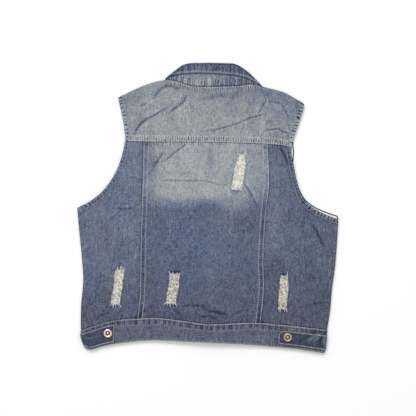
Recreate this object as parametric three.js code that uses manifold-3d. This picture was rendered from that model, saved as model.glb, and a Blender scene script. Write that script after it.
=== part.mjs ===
// A sleeveless denim vest lying face down and buttoned up, so that its back shows.
// Millimetres, +Z up from the surface it lies on, +Y towards the collar, +X to the right of
// someone who looks down at it. In the tables below x = 0 is the centre back.
import * as THREE from "three";
import { mergeVertices } from "three/addons/utils/BufferGeometryUtils.js";
import Module from "manifold-3d";

const wasm = await Module();
wasm.setup();

// Cloth
const CLOTH = 1.2; // one ply of denim with its seam allowances pressed flat
const DOUBLE = 2.2; // waistband, tabs, button strips and collar are two plies
const SEAM_GAP = 0.3; // between two pieces that are sewn together
const HALF_GAP = SEAM_GAP / 2;
const BAND_RISE = 0.8; // felled seams and turned hems stand this much higher
const BAND_STEP = 1.2; // width of the slope at the side of such a band

// How the two layers lie
const FOLD_HEIGHT = 2.7; // height of the side and shoulder folds, where front meets back
const FOLD_RISE = 2.3; // how much higher the shoulder folds are over the front collar
const FOLD_WIDTH = 5; // the cloth turns down over this width
const CORNER_WIDTH = 14; // and fades out over this width past a fold's end
const BACK_LOW = 5.0; // top of the back near the side folds
const BACK_RISE = 4.9; // how much higher it lies over the button strips
const BACK_CREST = 8; // x of the crest, as the under strip's own front comes from the right
const BACK_SPREAD = 75;
const FRONT_RISE = 2.8; // the button heads hold the front strip off the surface
const FRONT_REACH = 150; // beyond this the front lies flat on the surface
const UNDER_STRIP_RISE = 2.7; // the under strip lies on top of the outer one
const COLLAR_RISE = 2.6; // the front collar leaves lie under the front's neck edge
const COLLAR_REACH = { x: 155, y: 152 }; // half width and depth of the oval they fill
const LEAF_WIDTH = 46; // fall of the front collar, from the neck seam outwards
const LEAF_STAND = 24; // its stand, from the neck seam inwards
const LEAF_TOP = 4.8;
const ROLL_RADIUS = 3.2; // back collar, middle of its cloth

// Seam and hem widths
const FELL_WIDTH = 13; // yoke seam
const PRINCESS_WIDTH = 11; // the two long back seams
const HEM_WIDTH = 10; // armhole hem
const STRIP_HALF = 15; // button strips, each side of the centre front
const BUTTON_RADIUS = 8.5;

// Outlines. Each row is one place on an edge.
const LEFT_SIDE = [
  { y: -284, x: -238 },
  { y: -258, x: -247 },
  { y: -200, x: -248.5 },
  { y: -150, x: -245.5 },
  { y: -110, x: -248.8 },
  { y: -50, x: -256 },
  { y: -5, x: -261 },
];
const RIGHT_SIDE = [
  { y: -285, x: 240 },
  { y: -240, x: 244.5 },
  { y: -202, x: 249.7 },
  { y: -158, x: 252.7 },
  { y: -110, x: 258 },
  { y: -60, x: 260.8 },
  { y: -10, x: 262.5 },
];
const HEM = [
  { x: -247, y: -281 },
  { x: -229, y: -289 },
  { x: -205, y: -282 },
  { x: -181, y: -276.5 },
  { x: -133, y: -269.5 },
  { x: -97, y: -267 },
  { x: -25, y: -268.6 },
  { x: 71, y: -271 },
  { x: 143, y: -275 },
  { x: 191, y: -279 },
  { x: 241, y: -285.6 },
];
const WAIST_SEAM = [
  { x: -248, y: -250.5 },
  { x: -218, y: -239.5 },
  { x: -181, y: -229 },
  { x: -127, y: -223.5 },
  { x: -92, y: -222 },
  { x: -40, y: -227 },
  { x: 10, y: -232 },
  { x: 92, y: -227 },
  { x: 150, y: -230 },
  { x: 245, y: -238 },
];
const YOKE_SEAM = [
  { x: -169, y: 130 },
  { x: -100, y: 130 },
  { x: 0, y: 131.5 },
  { x: 100, y: 131 },
  { x: 142, y: 129.3 },
  { x: 164, y: 125.5 },
];
const LEFT_PRINCESS = [
  { y: -225, x: -135.9 },
  { y: -177, x: -132 },
  { y: -67, x: -132.5 },
  { y: 53, x: -131.2 },
  { y: 130, x: -131 },
];
const RIGHT_PRINCESS = [
  { y: -228, x: 108.7 },
  { y: -161, x: 115 },
  { y: -100, x: 112.5 },
  { y: 0, x: 116.4 },
  { y: 50, x: 122.4 },
  { y: 130, x: 118 },
];
const LEFT_NECK_POINT = [-94, 254];
const RIGHT_NECK_POINT = [106, 244.5];
const LEFT_TIP = [-184, 216];
const RIGHT_TIP = [188, 212];
const YOKE_TOP = [
  { x: -184, y: 216 },
  { x: -162, y: 228.4 },
  { x: -124.6, y: 245.2 },
  { x: -94, y: 253.6 },
  { x: -68, y: 252.5 },
  { x: -40, y: 243.8 },
  { x: 0, y: 242.8 },
  { x: 59, y: 246.4 },
  { x: 84, y: 249.4 },
  { x: 106, y: 244.8 },
  { x: 146, y: 235.4 },
  { x: 176, y: 220 },
  { x: 188, y: 212 },
];
const COLLAR_ROLL = [
  { x: -94, y: 254 },
  { x: -75, y: 270.4 },
  { x: -52, y: 286.5 },
  { x: -21, y: 290 },
  { x: 28, y: 290.6 },
  { x: 50, y: 289 },
  { x: 75, y: 273.8 },
  { x: 106, y: 244.5 },
];
const COLLAR_EDGE = [
  { x: -86, y: 258 },
  { x: -79, y: 263 },
  { x: -61, y: 266.7 },
  { x: -31, y: 269.6 },
  { x: 23, y: 268.6 },
  { x: 56, y: 266 },
  { x: 73, y: 261.7 },
  { x: 98, y: 249 },
];

// Armholes, from the underarm up to the shoulder tip, as Bezier stretches
const LEFT_ARMHOLE = [
  [[-261, -5], [-212, 14], [-178, 58], [-168, 130]],
  [[-168, 130], [-166.5, 146], [-179, 200], [-184, 216]],
];
const RIGHT_ARMHOLE_BACK = [
  [[262.5, -16], [240, -11], [210, 3], [197, 16.5]],
  [[197, 16.5], [182, 32], [163, 92], [164, 118]],
  [[164, 118], [165, 150], [182, 178], [188, 212]],
];
const RIGHT_ARMHOLE_FRONT = [
  [[262.5, -10], [240, -1], [212, 8], [198.5, 19]],
  [[198.5, 19], [184, 32], [166, 92], [167, 118]],
  [[167, 118], [168, 150], [184, 180], [188, 212]],
];
const LEFT_ARMHOLE_FRONT = LEFT_ARMHOLE.map((stretch) => stretch.map(([x, y]) => [x + 1.5, y]));

// The fronts end at the neck along this curve, from the left neck point to the right one.
const FRONT_NECK = [
  { x: -94, y: 253.6 },
  { x: -86, y: 228 },
  { x: -68, y: 195 },
  { x: -36, y: 169 },
  { x: 3, y: 161 },
  { x: 44, y: 169 },
  { x: 78, y: 192 },
  { x: 97, y: 220 },
  { x: 106, y: 244.8 },
];

// The largest soft folds in the back: a trough with a low ridge beside it, from (x0, y0) to (x1, y1)
const FOLDS = [
  { x0: -150, y0: 152, x1: -78, y1: 206, bow: 12, width: 13, depth: 1.6 },
  { x0: -96, y0: 176, x1: -66, y1: 222, bow: 4, width: 11, depth: 1.3 },
  { x0: -40, y0: 150, x1: 96, y1: 190, bow: 6, width: 12, depth: 1.1 },
  { x0: 76, y0: 176, x1: 92, y1: 226, bow: -4, width: 11, depth: 1.2 },
  { x0: 100, y0: 150, x1: 150, y1: 156, bow: 10, width: 12, depth: 1.3 },
  { x0: -92, y0: 62, x1: 40, y1: 50, bow: 4, width: 12, depth: 1.0 },
  { x0: -100, y0: 82, x1: -44, y1: 126, bow: 3, width: 12, depth: 1.2 },
  { x0: 70, y0: 50, x1: 100, y1: 4, bow: 2, width: 11, depth: 1.1 },
  { x0: 140, y0: 118, x1: 168, y1: 60, bow: 3, width: 12, depth: 1.4 },
  { x0: 190, y0: -40, x1: 214, y1: -96, bow: 4, width: 14, depth: 1.4 },
  { x0: -60, y0: -196, x1: 44, y1: -212, bow: 4, width: 13, depth: 1.5 },
  { x0: -182, y0: -4, x1: -142, y1: -2, bow: -3, width: 12, depth: 0.9 },
];

// Rips: the middle of the lower and upper ends and the width there
const RIPS = [
  { name: "rip_weft_1", x0: 58, y0: 38, w0: 20, x1: 66, y1: 109, w1: 12 },
  { name: "rip_weft_2", x0: -180, y0: -198, w0: 16.5, x1: -171.5, y1: -127, w1: 16 },
  { name: "rip_weft_3", x0: -68.8, y0: -193.5, w0: 19.5, x1: -61.5, y1: -132.5, w1: 19.5 },
  { name: "rip_weft_4", x0: 155, y0: -199, w0: 17, x1: 157, y1: -131, w1: 14.5 },
];

const TABS = {
  left: { reach: -180, top: 7.5, bottom: 3.5, corner: 2, button: [-193.5, -255] },
  right: { reach: 147, top: 11, bottom: 6, corner: 12, button: [166.2, -255] },
};
const FRONT_BUTTONS = [-252, -172, -92, -12, 68, 146];

// Curves
const clamp01 = (t) => Math.min(1, Math.max(0, t));
const mix = (a, b, t) => a + (b - a) * t;
const smooth = (t) => clamp01(t) ** 2 * (3 - 2 * clamp01(t));

// A smooth function through the rows of a table: value named `to` against value named `from`.
function through(rows, from, to) {
  const a = rows.map((row) => row[from]);
  const b = rows.map((row) => row[to]);
  const last = a.length - 1;
  const slope = a.map((_, i) => {
    const lo = Math.max(0, i - 1);
    const hi = Math.min(last, i + 1);
    return (b[hi] - b[lo]) / (a[hi] - a[lo]);
  });
  return (value) => {
    if (value <= a[0]) return b[0] + slope[0] * (value - a[0]);
    if (value >= a[last]) return b[last] + slope[last] * (value - a[last]);
    const i = a.findIndex((edge) => edge >= value) - 1;
    const h = a[i + 1] - a[i];
    const t = (value - a[i]) / h;
    const s = t * t * (3 - 2 * t);
    const start = (t * (1 - t) ** 2) * h * slope[i];
    const end = (t * t * (t - 1)) * h * slope[i + 1];
    return mix(b[i], b[i + 1], s) + start + end;
  };
}

// The x of a chain of Bezier stretches at height y. Every stretch rises in y.
function alongBezier(stretches) {
  const curves = stretches.map(
    (points) => new THREE.CubicBezierCurve(...points.map(([x, y]) => new THREE.Vector2(x, y))),
  );
  return (y) => {
    const curve = curves.find((c) => y <= c.v3.y) ?? curves[curves.length - 1];
    let lo = 0;
    let hi = 1;
    for (let i = 0; i < 30; i++) {
      const t = (lo + hi) / 2;
      if (curve.getPoint(t).y < y) lo = t;
      else hi = t;
    }
    return curve.getPoint(lo).x;
  };
}

// An edge that follows the side up to the underarm and the armhole above it.
const sideThenArmhole = (side, armhole) => {
  const low = through(side, "y", "x");
  const high = alongBezier(armhole);
  const underarm = armhole[0][0][1];
  return (y) => (y <= underarm ? low(y) : high(y));
};

const leftSide = through(LEFT_SIDE, "y", "x");
const rightSide = through(RIGHT_SIDE, "y", "x");
const leftBack = sideThenArmhole(LEFT_SIDE, LEFT_ARMHOLE);
const rightBack = sideThenArmhole(RIGHT_SIDE, RIGHT_ARMHOLE_BACK);
const leftFront = sideThenArmhole(LEFT_SIDE, LEFT_ARMHOLE_FRONT);
const rightFront = sideThenArmhole(RIGHT_SIDE, RIGHT_ARMHOLE_FRONT);
const hem = through(HEM, "x", "y");
const waistSeam = through(WAIST_SEAM, "x", "y");
const yokeSeam = through(YOKE_SEAM, "x", "y");
const yokeTop = through(YOKE_TOP, "x", "y");
const frontNeck = through(FRONT_NECK, "x", "y");
const leftPrincess = through(LEFT_PRINCESS, "y", "x");
const rightPrincess = through(RIGHT_PRINCESS, "y", "x");
const collarRoll = through(COLLAR_ROLL, "x", "y");
const collarEdge = through(COLLAR_EDGE, "x", "y");

// How the layers lie
const bell = (x, spread) => Math.exp(-((x / spread) ** 2));
const pastEnd = (dx, dy) => Math.hypot(dx, dy) * (FOLD_WIDTH / CORNER_WIDTH);

// Distance from the nearest side fold or shoulder fold, measured inwards.
function foldDistance(x, y) {
  const underLeft = LEFT_ARMHOLE[0][0];
  const underRight = RIGHT_ARMHOLE_BACK[0][0];
  const left = y <= underLeft[1] ? x - leftSide(y) : pastEnd(x - underLeft[0], y - underLeft[1]);
  const right =
    y <= underRight[1] ? rightSide(y) - x : pastEnd(x - underRight[0], y - underRight[1]);
  let shoulder = pastEnd(x - LEFT_NECK_POINT[0], y - LEFT_NECK_POINT[1]);
  if (x <= LEFT_NECK_POINT[0] || x >= RIGHT_NECK_POINT[0]) shoulder = yokeTop(x) - y;
  else if (x > 0) shoulder = pastEnd(x - RIGHT_NECK_POINT[0], y - RIGHT_NECK_POINT[1]);
  return Math.max(0, Math.min(left, right, shoulder));
}

// From 0 at a fold to 1 where the cloth lies flat, as a quarter of an ellipse.
const turned = (distance) => Math.sqrt(1 - (1 - clamp01(distance / FOLD_WIDTH)) ** 2);

function foldRelief(x, y) {
  let relief = 0;
  for (const f of FOLDS) {
    const length = Math.hypot(f.x1 - f.x0, f.y1 - f.y0);
    const ux = (f.x1 - f.x0) / length;
    const uy = (f.y1 - f.y0) / length;
    const along = ((x - f.x0) * ux + (y - f.y0) * uy) / length;
    const across = (y - f.y0) * ux - (x - f.x0) * uy - f.bow * 4 * along * (1 - along);
    if (along < -0.1 || along > 1.1 || Math.abs(across) > 3 * f.width) continue;
    const ends = smooth((along + 0.1) / 0.3) * smooth((1.1 - along) / 0.3);
    relief -= f.depth * ends * bell(across, f.width * 0.7);
    relief += 0.7 * f.depth * ends * bell(across - 1.3 * f.width, f.width * 0.8);
  }
  return relief * (1 - 0.85 * bell(x, 2.4 * STRIP_HALF)); // flatter over the button strips
}

// 1 over the front collar, 0 away from it.
function overCollar(x, y) {
  const reach = Math.hypot((x - 6) / COLLAR_REACH.x, (y - 252) / COLLAR_REACH.y);
  return 1 - smooth((reach - 1) / 0.15);
}

// Top of the back layer, and underside of the front layer, with the cloth unraised by seams.
function backTop(x, y) {
  const overFront = mix(COLLAR_RISE * 0.85 * overCollar(x, y), BACK_RISE, bell(x - BACK_CREST, BACK_SPREAD));
  const flat = BACK_LOW + overFront + foldRelief(x, y);
  return mix(FOLD_HEIGHT + FOLD_RISE * overCollar(x, y), flat, turned(foldDistance(x, y)));
}
function frontUnder(x, y) {
  const edge = FOLD_HEIGHT + (FOLD_RISE - SEAM_GAP) * overCollar(x, y) - SEAM_GAP;
  const overStrip = FRONT_RISE * (1 - smooth(Math.abs(x) / FRONT_REACH));
  return mix(edge, Math.max(overStrip, COLLAR_RISE * overCollar(x, y)), turned(foldDistance(x, y)));
}
const underStripLift = (x) => UNDER_STRIP_RISE * (1 - smooth((x - STRIP_HALF) / 45));

// Unit normal of the sheet z = height(x, y), pointing up.
function normalOf(height, x, y) {
  const h = 0.02; // well inside the first grid line of a fold
  const dx = (height(x + h, y) - height(x - h, y)) / (2 * h);
  const dy = (height(x, y + h) - height(x, y - h)) / (2 * h);
  return new THREE.Vector3(-dx, -dy, 1).normalize();
}

// Lines of a panel's grid
// A stop is a place between two edges: the share of the way across, and a shift in millimetres.
const place = (a, b, stop) => mix(a, b, stop.share) + stop.shift;
function stops(startBand, endBand, cells) {
  const list = [...startBand.map((d) => ({ share: 0, shift: d }))];
  const start = startBand[startBand.length - 1];
  const end = endBand[endBand.length - 1];
  for (let i = 1; i < cells; i++) {
    const share = i / cells;
    list.push({ share, shift: start * (1 - share) - end * share });
  }
  return [...list, ...[...endBand].reverse().map((d) => ({ share: 1, shift: -d }))];
}
// Close rows where an armhole turns into the side.
function withUnderarm(rows, from, to, cells) {
  const close = Array.from({ length: cells + 1 }, (_, i) => ({ share: mix(from, to, i / cells), shift: 0 }));
  const kept = rows.filter((row) => row.share <= from - 0.01 || row.share >= to + 0.01);
  return [...kept, ...close].sort((a, b) => a.share - b.share || a.shift - b.shift);
}
const TURN = [0.05, 0.67, 2.5, FOLD_WIDTH]; // lines across a fold
const TUCKED = [0.3, 0.9, 2.5, FOLD_WIDTH]; // the same for the front, under the back's turn
const SEWN = [HALF_GAP]; // one line at a plain seam
const band = (width) => [HALF_GAP, width - BAND_STEP, width];

// The grid point where column i meets row j, for edges that are curves of x or of y.
function crossing(piece, column, row) {
  let x = (piece.left(0) + piece.right(0)) / 2;
  let y = (piece.bottom(x) + piece.top(x)) / 2;
  for (let i = 0; i < 40; i++) {
    y = place(piece.bottom(x), piece.top(x), row);
    x = place(piece.left(y), piece.right(y), column);
  }
  return [x, y];
}

// Closes two grids of points, outer and inner, into one wall.
function wallGeometry(outer, inner) {
  const columns = outer.length;
  const rows = outer[0].length;
  const points = [...outer.flat(), ...inner.flat()];
  const at = (side, i, j) => side * columns * rows + i * rows + j;
  const index = [];
  const quad = (a, b, c, d) => index.push(a, b, c, a, c, d);
  for (let i = 0; i < columns - 1; i++)
    for (let j = 0; j < rows - 1; j++) {
      quad(at(0, i, j), at(0, i + 1, j), at(0, i + 1, j + 1), at(0, i, j + 1));
      quad(at(1, i, j), at(1, i, j + 1), at(1, i + 1, j + 1), at(1, i + 1, j));
    }
  for (let i = 0; i < columns - 1; i++) {
    quad(at(0, i, 0), at(1, i, 0), at(1, i + 1, 0), at(0, i + 1, 0));
    quad(at(0, i, rows - 1), at(0, i + 1, rows - 1), at(1, i + 1, rows - 1), at(1, i, rows - 1));
  }
  for (let j = 0; j < rows - 1; j++) {
    quad(at(0, 0, j), at(0, 0, j + 1), at(1, 0, j + 1), at(1, 0, j));
    quad(at(0, columns - 1, j), at(1, columns - 1, j), at(1, columns - 1, j + 1), at(0, columns - 1, j + 1));
  }
  const geometry = new THREE.BufferGeometry();
  geometry.setAttribute("position", new THREE.Float32BufferAttribute(points.flatMap((p) => p.toArray()), 3));
  geometry.setIndex(index);
  return geometry;
}

// A cloth wall that lies on the sheet z = height(x, y), between `low` and `high` along its normal.
function clothWall(piece, height, low, high) {
  const outer = [];
  const inner = [];
  for (const column of piece.columns) {
    const line = piece.rows.map((row) => crossing(piece, column, row));
    const points = line.map(([x, y]) => new THREE.Vector3(x, y, height(x, y)));
    const normals = line.map(([x, y]) => normalOf(height, x, y));
    outer.push(points.map((p, k) => p.clone().addScaledVector(normals[k], high(...line[k]))));
    inner.push(points.map((p, k) => p.clone().addScaledVector(normals[k], low(...line[k]))));
  }
  return wallGeometry(outer, inner);
}

// How far a seam band or hem stands up, from the distance to its edge.
const raised = (distance, width) => BAND_RISE * (1 - smooth((distance - width + BAND_STEP) / BAND_STEP));

// Solids that are cut or joined
function toManifold(geometry) {
  const bare = new THREE.BufferGeometry();
  bare.setAttribute("position", geometry.getAttribute("position"));
  if (geometry.index) bare.setIndex(geometry.index);
  const merged = mergeVertices(bare, 1e-3);
  return new wasm.Manifold(
    new wasm.Mesh({
      numProp: 3,
      vertProperties: new Float32Array(merged.attributes.position.array),
      triVerts: new Uint32Array(merged.index.array),
    }),
  );
}
function fromManifold(solid) {
  const mesh = solid.getMesh();
  const geometry = new THREE.BufferGeometry();
  geometry.setAttribute("position", new THREE.BufferAttribute(mesh.vertProperties, 3));
  geometry.setIndex(new THREE.BufferAttribute(mesh.triVerts, 1));
  return geometry;
}

// Materials
const cloth = (color) => new THREE.MeshStandardMaterial({ color, roughness: 0.92, metalness: 0 });
const FADED = cloth(0x9096a0);
const INDIGO = cloth(0x5c667d);
const DARK_INDIGO = cloth(0x565d72);
const WEFT = cloth(0xd8d2c4);
const METAL = new THREE.MeshStandardMaterial({ color: 0xd9b08c, roughness: 0.3, metalness: 1 });

const vest = new THREE.Group();
function add(name, geometry, material) {
  const mesh = new THREE.Mesh(geometry, material);
  mesh.name = name;
  vest.add(mesh);
  return mesh;
}
const shifted = (curve, by) => (t) => curve(t) + by;

// Back panels. Their inner face stays smooth and the outer one carries the seam bands.
const flatInside = () => -CLOTH;

function ripShape(rip, inset) {
  const lean = new THREE.Vector2(rip.x1 - rip.x0, rip.y1 - rip.y0).normalize();
  const side = new THREE.Vector2(lean.y, -lean.x);
  const corner = (x, y, width, sign, end) =>
    new THREE.Vector2(x, y).addScaledVector(side, sign * (width / 2 - inset)).addScaledVector(lean, end * inset);
  const [a, b] = [corner(rip.x0, rip.y0, rip.w0, -1, 1), corner(rip.x0, rip.y0, rip.w0, 1, 1)];
  const [c, d] = [corner(rip.x1, rip.y1, rip.w1, 1, -1), corner(rip.x1, rip.y1, rip.w1, -1, -1)];
  return new THREE.Shape([a, b, c, d]);
}
function ripPrism(rip, inset) {
  const prism = new THREE.ExtrudeGeometry(ripShape(rip, inset), { depth: 30, bevelEnabled: false });
  return toManifold(prism.translate(0, 0, -5));
}

// Adds a back panel with its rips cut through, and the white weft left across each rip.
function addBackPanel(name, piece, rise, material, rips = []) {
  let solid = toManifold(clothWall(piece, backTop, flatInside, rise));
  for (const rip of rips) {
    solid = solid.subtract(ripPrism(rip, 0));
    const weft = toManifold(clothWall(piece, backTop, () => -0.95, () => -0.15));
    add(rip.name, fromManifold(weft.intersect(ripPrism(rip, SEAM_GAP))), WEFT);
  }
  add(name, fromManifold(solid), material);
}

const yoke = {
  left: leftBack,
  right: rightBack,
  bottom: yokeSeam,
  top: yokeTop,
  columns: stops([0, HEM_WIDTH - BAND_STEP, HEM_WIDTH], [0, HEM_WIDTH - BAND_STEP, HEM_WIDTH], 24),
  rows: stops(band(FELL_WIDTH), TURN, 8),
};
addBackPanel(
  "back_yoke",
  yoke,
  (x, y) =>
    Math.max(
      raised(y - yokeSeam(x), FELL_WIDTH),
      raised(x - leftBack(y), HEM_WIDTH),
      raised(rightBack(y) - x, HEM_WIDTH),
    ),
  FADED,
);

const centreBack = {
  left: leftPrincess,
  right: rightPrincess,
  bottom: waistSeam,
  top: yokeSeam,
  columns: stops(band(PRINCESS_WIDTH), band(PRINCESS_WIDTH), 16),
  rows: stops(SEWN, SEWN, 24),
};
addBackPanel(
  "back_centre",
  centreBack,
  (x, y) =>
    Math.max(raised(x - leftPrincess(y), PRINCESS_WIDTH), raised(rightPrincess(y) - x, PRINCESS_WIDTH)),
  INDIGO,
  [RIPS[0], RIPS[2]],
);

const armholeRise = (edge, sign, underarm) => (x, y) =>
  smooth((y - underarm) / HEM_WIDTH) * raised(sign * (x - edge(y)), HEM_WIDTH);
const SIDE_ROWS = withUnderarm(stops(SEWN, SEWN, 20), 0.615, 0.74, 9);
const leftSideBack = {
  left: leftBack,
  right: leftPrincess,
  bottom: waistSeam,
  top: yokeSeam,
  columns: stops([...TURN, HEM_WIDTH - BAND_STEP, HEM_WIDTH], SEWN, 8),
  rows: SIDE_ROWS,
};
addBackPanel("back_side_left", leftSideBack, armholeRise(leftBack, 1, -5), INDIGO, [RIPS[1]]);
const rightSideBack = {
  left: rightPrincess,
  right: rightBack,
  bottom: waistSeam,
  top: yokeSeam,
  columns: stops(SEWN, [...TURN, HEM_WIDTH - BAND_STEP, HEM_WIDTH], 9),
  rows: SIDE_ROWS,
};
addBackPanel("back_side_right", rightSideBack, armholeRise(rightBack, -1, -16), INDIGO, [RIPS[3]]);

// Back waistband: two plies, standing a ply higher than the panels
const BAND_OUT = DOUBLE - CLOTH;
const waistband = {
  left: leftSide,
  right: rightSide,
  bottom: hem,
  top: waistSeam,
  columns: stops(TURN, TURN, 36),
  rows: stops([0.05, 2], SEWN, 3),
};
const waistbandTop = () => BAND_OUT;
add("waistband_back", clothWall(waistband, backTop, flatInside, waistbandTop), DARK_INDIGO);

// Side tabs lie on the waistband and are made from its points, moved out.
const TAB_LIFT = BAND_OUT + SEAM_GAP;
function addTab(side, sign) {
  const tab = TABS[side];
  const away = (x) => Math.max(0, tab.corner - Math.abs(x - tab.reach));
  const rounding = (x) => tab.corner - Math.sqrt(Math.max(0, tab.corner ** 2 - away(x) ** 2));
  const reach = () => tab.reach;
  const piece = {
    left: sign < 0 ? shifted(leftSide, 0.4) : reach,
    right: sign < 0 ? reach : shifted(rightSide, -0.4),
    bottom: (x) => hem(x) + tab.bottom,
    top: (x) => waistSeam(x) - tab.top - rounding(x),
    columns: sign < 0 ? stops([0, 2, FOLD_WIDTH], [0, 1.5, 4], 8) : stops([0, 1.5, 4, 8], [0, 2, FOLD_WIDTH], 10),
    rows: stops([0], [0], 3),
  };
  add(
    "tab_" + side,
    clothWall(piece, backTop, () => TAB_LIFT, () => TAB_LIFT + DOUBLE),
    DARK_INDIGO,
  );
}
addTab("left", -1);
addTab("right", 1);

// Tack button: a rolled rim round a dished middle with the tack's head in it
const R = BUTTON_RADIUS;
const BUTTON_PROFILE = [
  [0, 0], [R - 1.2, 0], [R - 0.2, 0.7], [R, 1.6], [R - 0.7, 2.6], [R - 2, 3.0],
  [R - 3.4, 2.6], [R - 4.1, 1.5], [2.3, 1.3], [1.9, 2.0], [0, 2.3],
];
const HIDDEN_BUTTON_PROFILE = [[0, 0], [R - 1.5, 0], [R, 1], [R - 1.5, 2.5], [0, 2.5]];
const lathed = (profile, sides) =>
  new THREE.LatheGeometry(profile.map(([x, y]) => new THREE.Vector2(x, y)), sides).rotateX(Math.PI / 2);
for (const side of ["left", "right"]) {
  const [x, y] = TABS[side].button;
  const seat = Math.max(
    ...[0, 1, 2, 3, 4, 5, 6, 7].map((k) => {
      const angle = (k * Math.PI) / 4;
      return backTop(x + BUTTON_RADIUS * Math.cos(angle), y + BUTTON_RADIUS * Math.sin(angle));
    }),
  );
  const button = add("button_tab_" + side, lathed(BUTTON_PROFILE, 20), METAL);
  button.position.set(x, y, seat + TAB_LIFT + DOUBLE + SEAM_GAP);
}

// Fronts. Their outer face is the one that lies on the surface.
const frontTop = (x) => (x < LEFT_NECK_POINT[0] || x > RIGHT_NECK_POINT[0] ? yokeTop(x) : frontNeck(x));
const plainIn = () => CLOTH;
const none = () => 0;
const FRONT_ROWS = withUnderarm(stops(SEWN, TUCKED, 15), 0.465, 0.58, 8);
add(
  "front_left",
  clothWall(
    {
      left: leftFront,
      right: () => -STRIP_HALF,
      bottom: waistSeam,
      top: frontTop,
      columns: stops(TUCKED, SEWN, 13),
      rows: FRONT_ROWS,
    },
    frontUnder,
    none,
    plainIn,
  ),
  INDIGO,
);
const liftedFront = (x, y) => frontUnder(x, y) + underStripLift(x) * turned(foldDistance(x, y));
add(
  "front_right",
  clothWall(
    {
      left: () => STRIP_HALF,
      right: rightFront,
      bottom: waistSeam,
      top: frontTop,
      columns: stops(SEWN, TUCKED, 13),
      rows: FRONT_ROWS,
    },
    liftedFront,
    none,
    plainIn,
  ),
  INDIGO,
);

// Button strips: the outer one belongs to the left front and the under one to the right front.
const strip = {
  left: () => -STRIP_HALF,
  right: () => STRIP_HALF,
  bottom: hem,
  top: frontNeck,
  columns: stops([HALF_GAP], [HALF_GAP], 3),
  rows: stops([1.5], SEWN, 14),
};
add("button_strip_outer", clothWall(strip, frontUnder, none, () => DOUBLE), INDIGO);
const underStripLow = (x, y) => frontUnder(x, y) + UNDER_STRIP_RISE;
add("button_strip_under", clothWall(strip, underStripLow, none, () => DOUBLE), INDIGO);

// Front waistbands
const frontHem = shifted(hem, 1.5);
const frontBandRows = stops([0], SEWN, 3);
add(
  "waistband_front_left",
  clothWall(
    {
      left: leftSide,
      right: () => -STRIP_HALF,
      bottom: frontHem,
      top: waistSeam,
      columns: stops(TURN, SEWN, 14),
      rows: frontBandRows,
    },
    frontUnder,
    none,
    () => DOUBLE,
  ),
  DARK_INDIGO,
);
add(
  "waistband_front_right",
  clothWall(
    {
      left: () => STRIP_HALF,
      right: rightSide,
      bottom: frontHem,
      top: waistSeam,
      columns: stops(SEWN, TURN, 14),
      rows: frontBandRows,
    },
    liftedFront,
    none,
    () => DOUBLE,
  ),
  DARK_INDIGO,
);
// Back collar: its stand runs from the neck seam to the roll, its fall comes back over it.
function collarSection(x) {
  const seam = { y: yokeTop(x) + 0.6, z: backTop(x, yokeTop(x)) - 0.3 };
  const radius = Math.min(ROLL_RADIUS, 0.2 * (collarRoll(x) - seam.y));
  const centre = { y: collarRoll(x) - radius - DOUBLE / 2, z: radius + DOUBLE / 2 };
  const low = { y: centre.y, z: centre.z - radius };
  const edgeY = Math.min(collarEdge(x), centre.y - 0.5);
  const standUnderEdge = mix(low.z, seam.z, (low.y - edgeY) / (low.y - seam.y));
  const edge = { y: edgeY, z: Math.max(centre.z + radius, standUnderEdge + DOUBLE + 0.7) };
  const path = [];
  for (const t of [0, 0.2, 0.4, 0.6, 0.8]) path.push([mix(seam.y, low.y, t), mix(seam.z, low.z, t)]);
  for (let i = 0; i <= 6; i++) {
    const angle = (i / 6 - 0.5) * Math.PI;
    path.push([centre.y + radius * Math.cos(angle), centre.z + radius * Math.sin(angle)]);
  }
  for (const t of [0.4, 0.8, 1]) path.push([mix(centre.y, edge.y, t), mix(centre.z + radius, edge.z, t)]);
  return path.map(([y, z]) => new THREE.Vector3(x, y, z));
}
const COLLAR_COLUMNS = 22;
const sections = Array.from({ length: COLLAR_COLUMNS + 1 }, (_, i) => {
  const path = collarSection(mix(-88, 100, i / COLLAR_COLUMNS));
  return path.map((point, k) => {
    const along = path[Math.min(k + 1, path.length - 1)].clone().sub(path[Math.max(k - 1, 0)]);
    if (k === 0) along.set(0, 1, 0); // square to the yoke's neck edge
    const normal = new THREE.Vector3(0, -along.z, along.y).normalize().multiplyScalar(DOUBLE / 2);
    return { outer: point.clone().sub(normal), inner: point.clone().add(normal) };
  });
});
add(
  "collar_back",
  wallGeometry(
    sections.map((section) => section.map((p) => p.inner)),
    sections.map((section) => section.map((p) => p.outer)),
  ),
  INDIGO,
);

// Front ends of the collar: the fall lies under the front, the stand in the neck opening.
function collarLeaf(from, to, startAngle, endAngle) {
  const profile = [
    [LEAF_WIDTH, 0], [-LEAF_STAND, 0], [-LEAF_STAND - 1.4, 0.7], [-LEAF_STAND - 2, 2.4],
    [-LEAF_STAND - 1.4, 4.1], [-LEAF_STAND, LEAF_TOP], [-2.2, LEAF_TOP], [-1.8, DOUBLE],
    [LEAF_WIDTH, DOUBLE],
  ];
  const steps = 14;
  const rings = Array.from({ length: steps + 1 }, (_, i) => {
    const x = mix(from, to, i / steps);
    const angle = mix(startAngle, endAngle, smooth(i / steps));
    return profile.map(
      ([n, z]) => new THREE.Vector3(x + n * Math.cos(angle), frontNeck(x) + n * Math.sin(angle), z),
    );
  });
  const size = profile.length;
  const index = [];
  for (let i = 0; i < steps; i++)
    for (let k = 0; k < size; k++) {
      const [a, b] = [i * size + k, i * size + ((k + 1) % size)];
      index.push(a, b, b + size, a, b + size, a + size);
    }
  const cap = THREE.ShapeUtils.triangulateShape(profile.map(([n, z]) => new THREE.Vector2(n, z)), []);
  for (const [a, b, c] of cap) index.push(a, b, c, steps * size + c, steps * size + b, steps * size + a);
  const geometry = new THREE.BufferGeometry();
  geometry.setAttribute("position", new THREE.Float32BufferAttribute(rings.flat().flatMap((p) => p.toArray()), 3));
  geometry.setIndex(index);
  return geometry;
}
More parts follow.
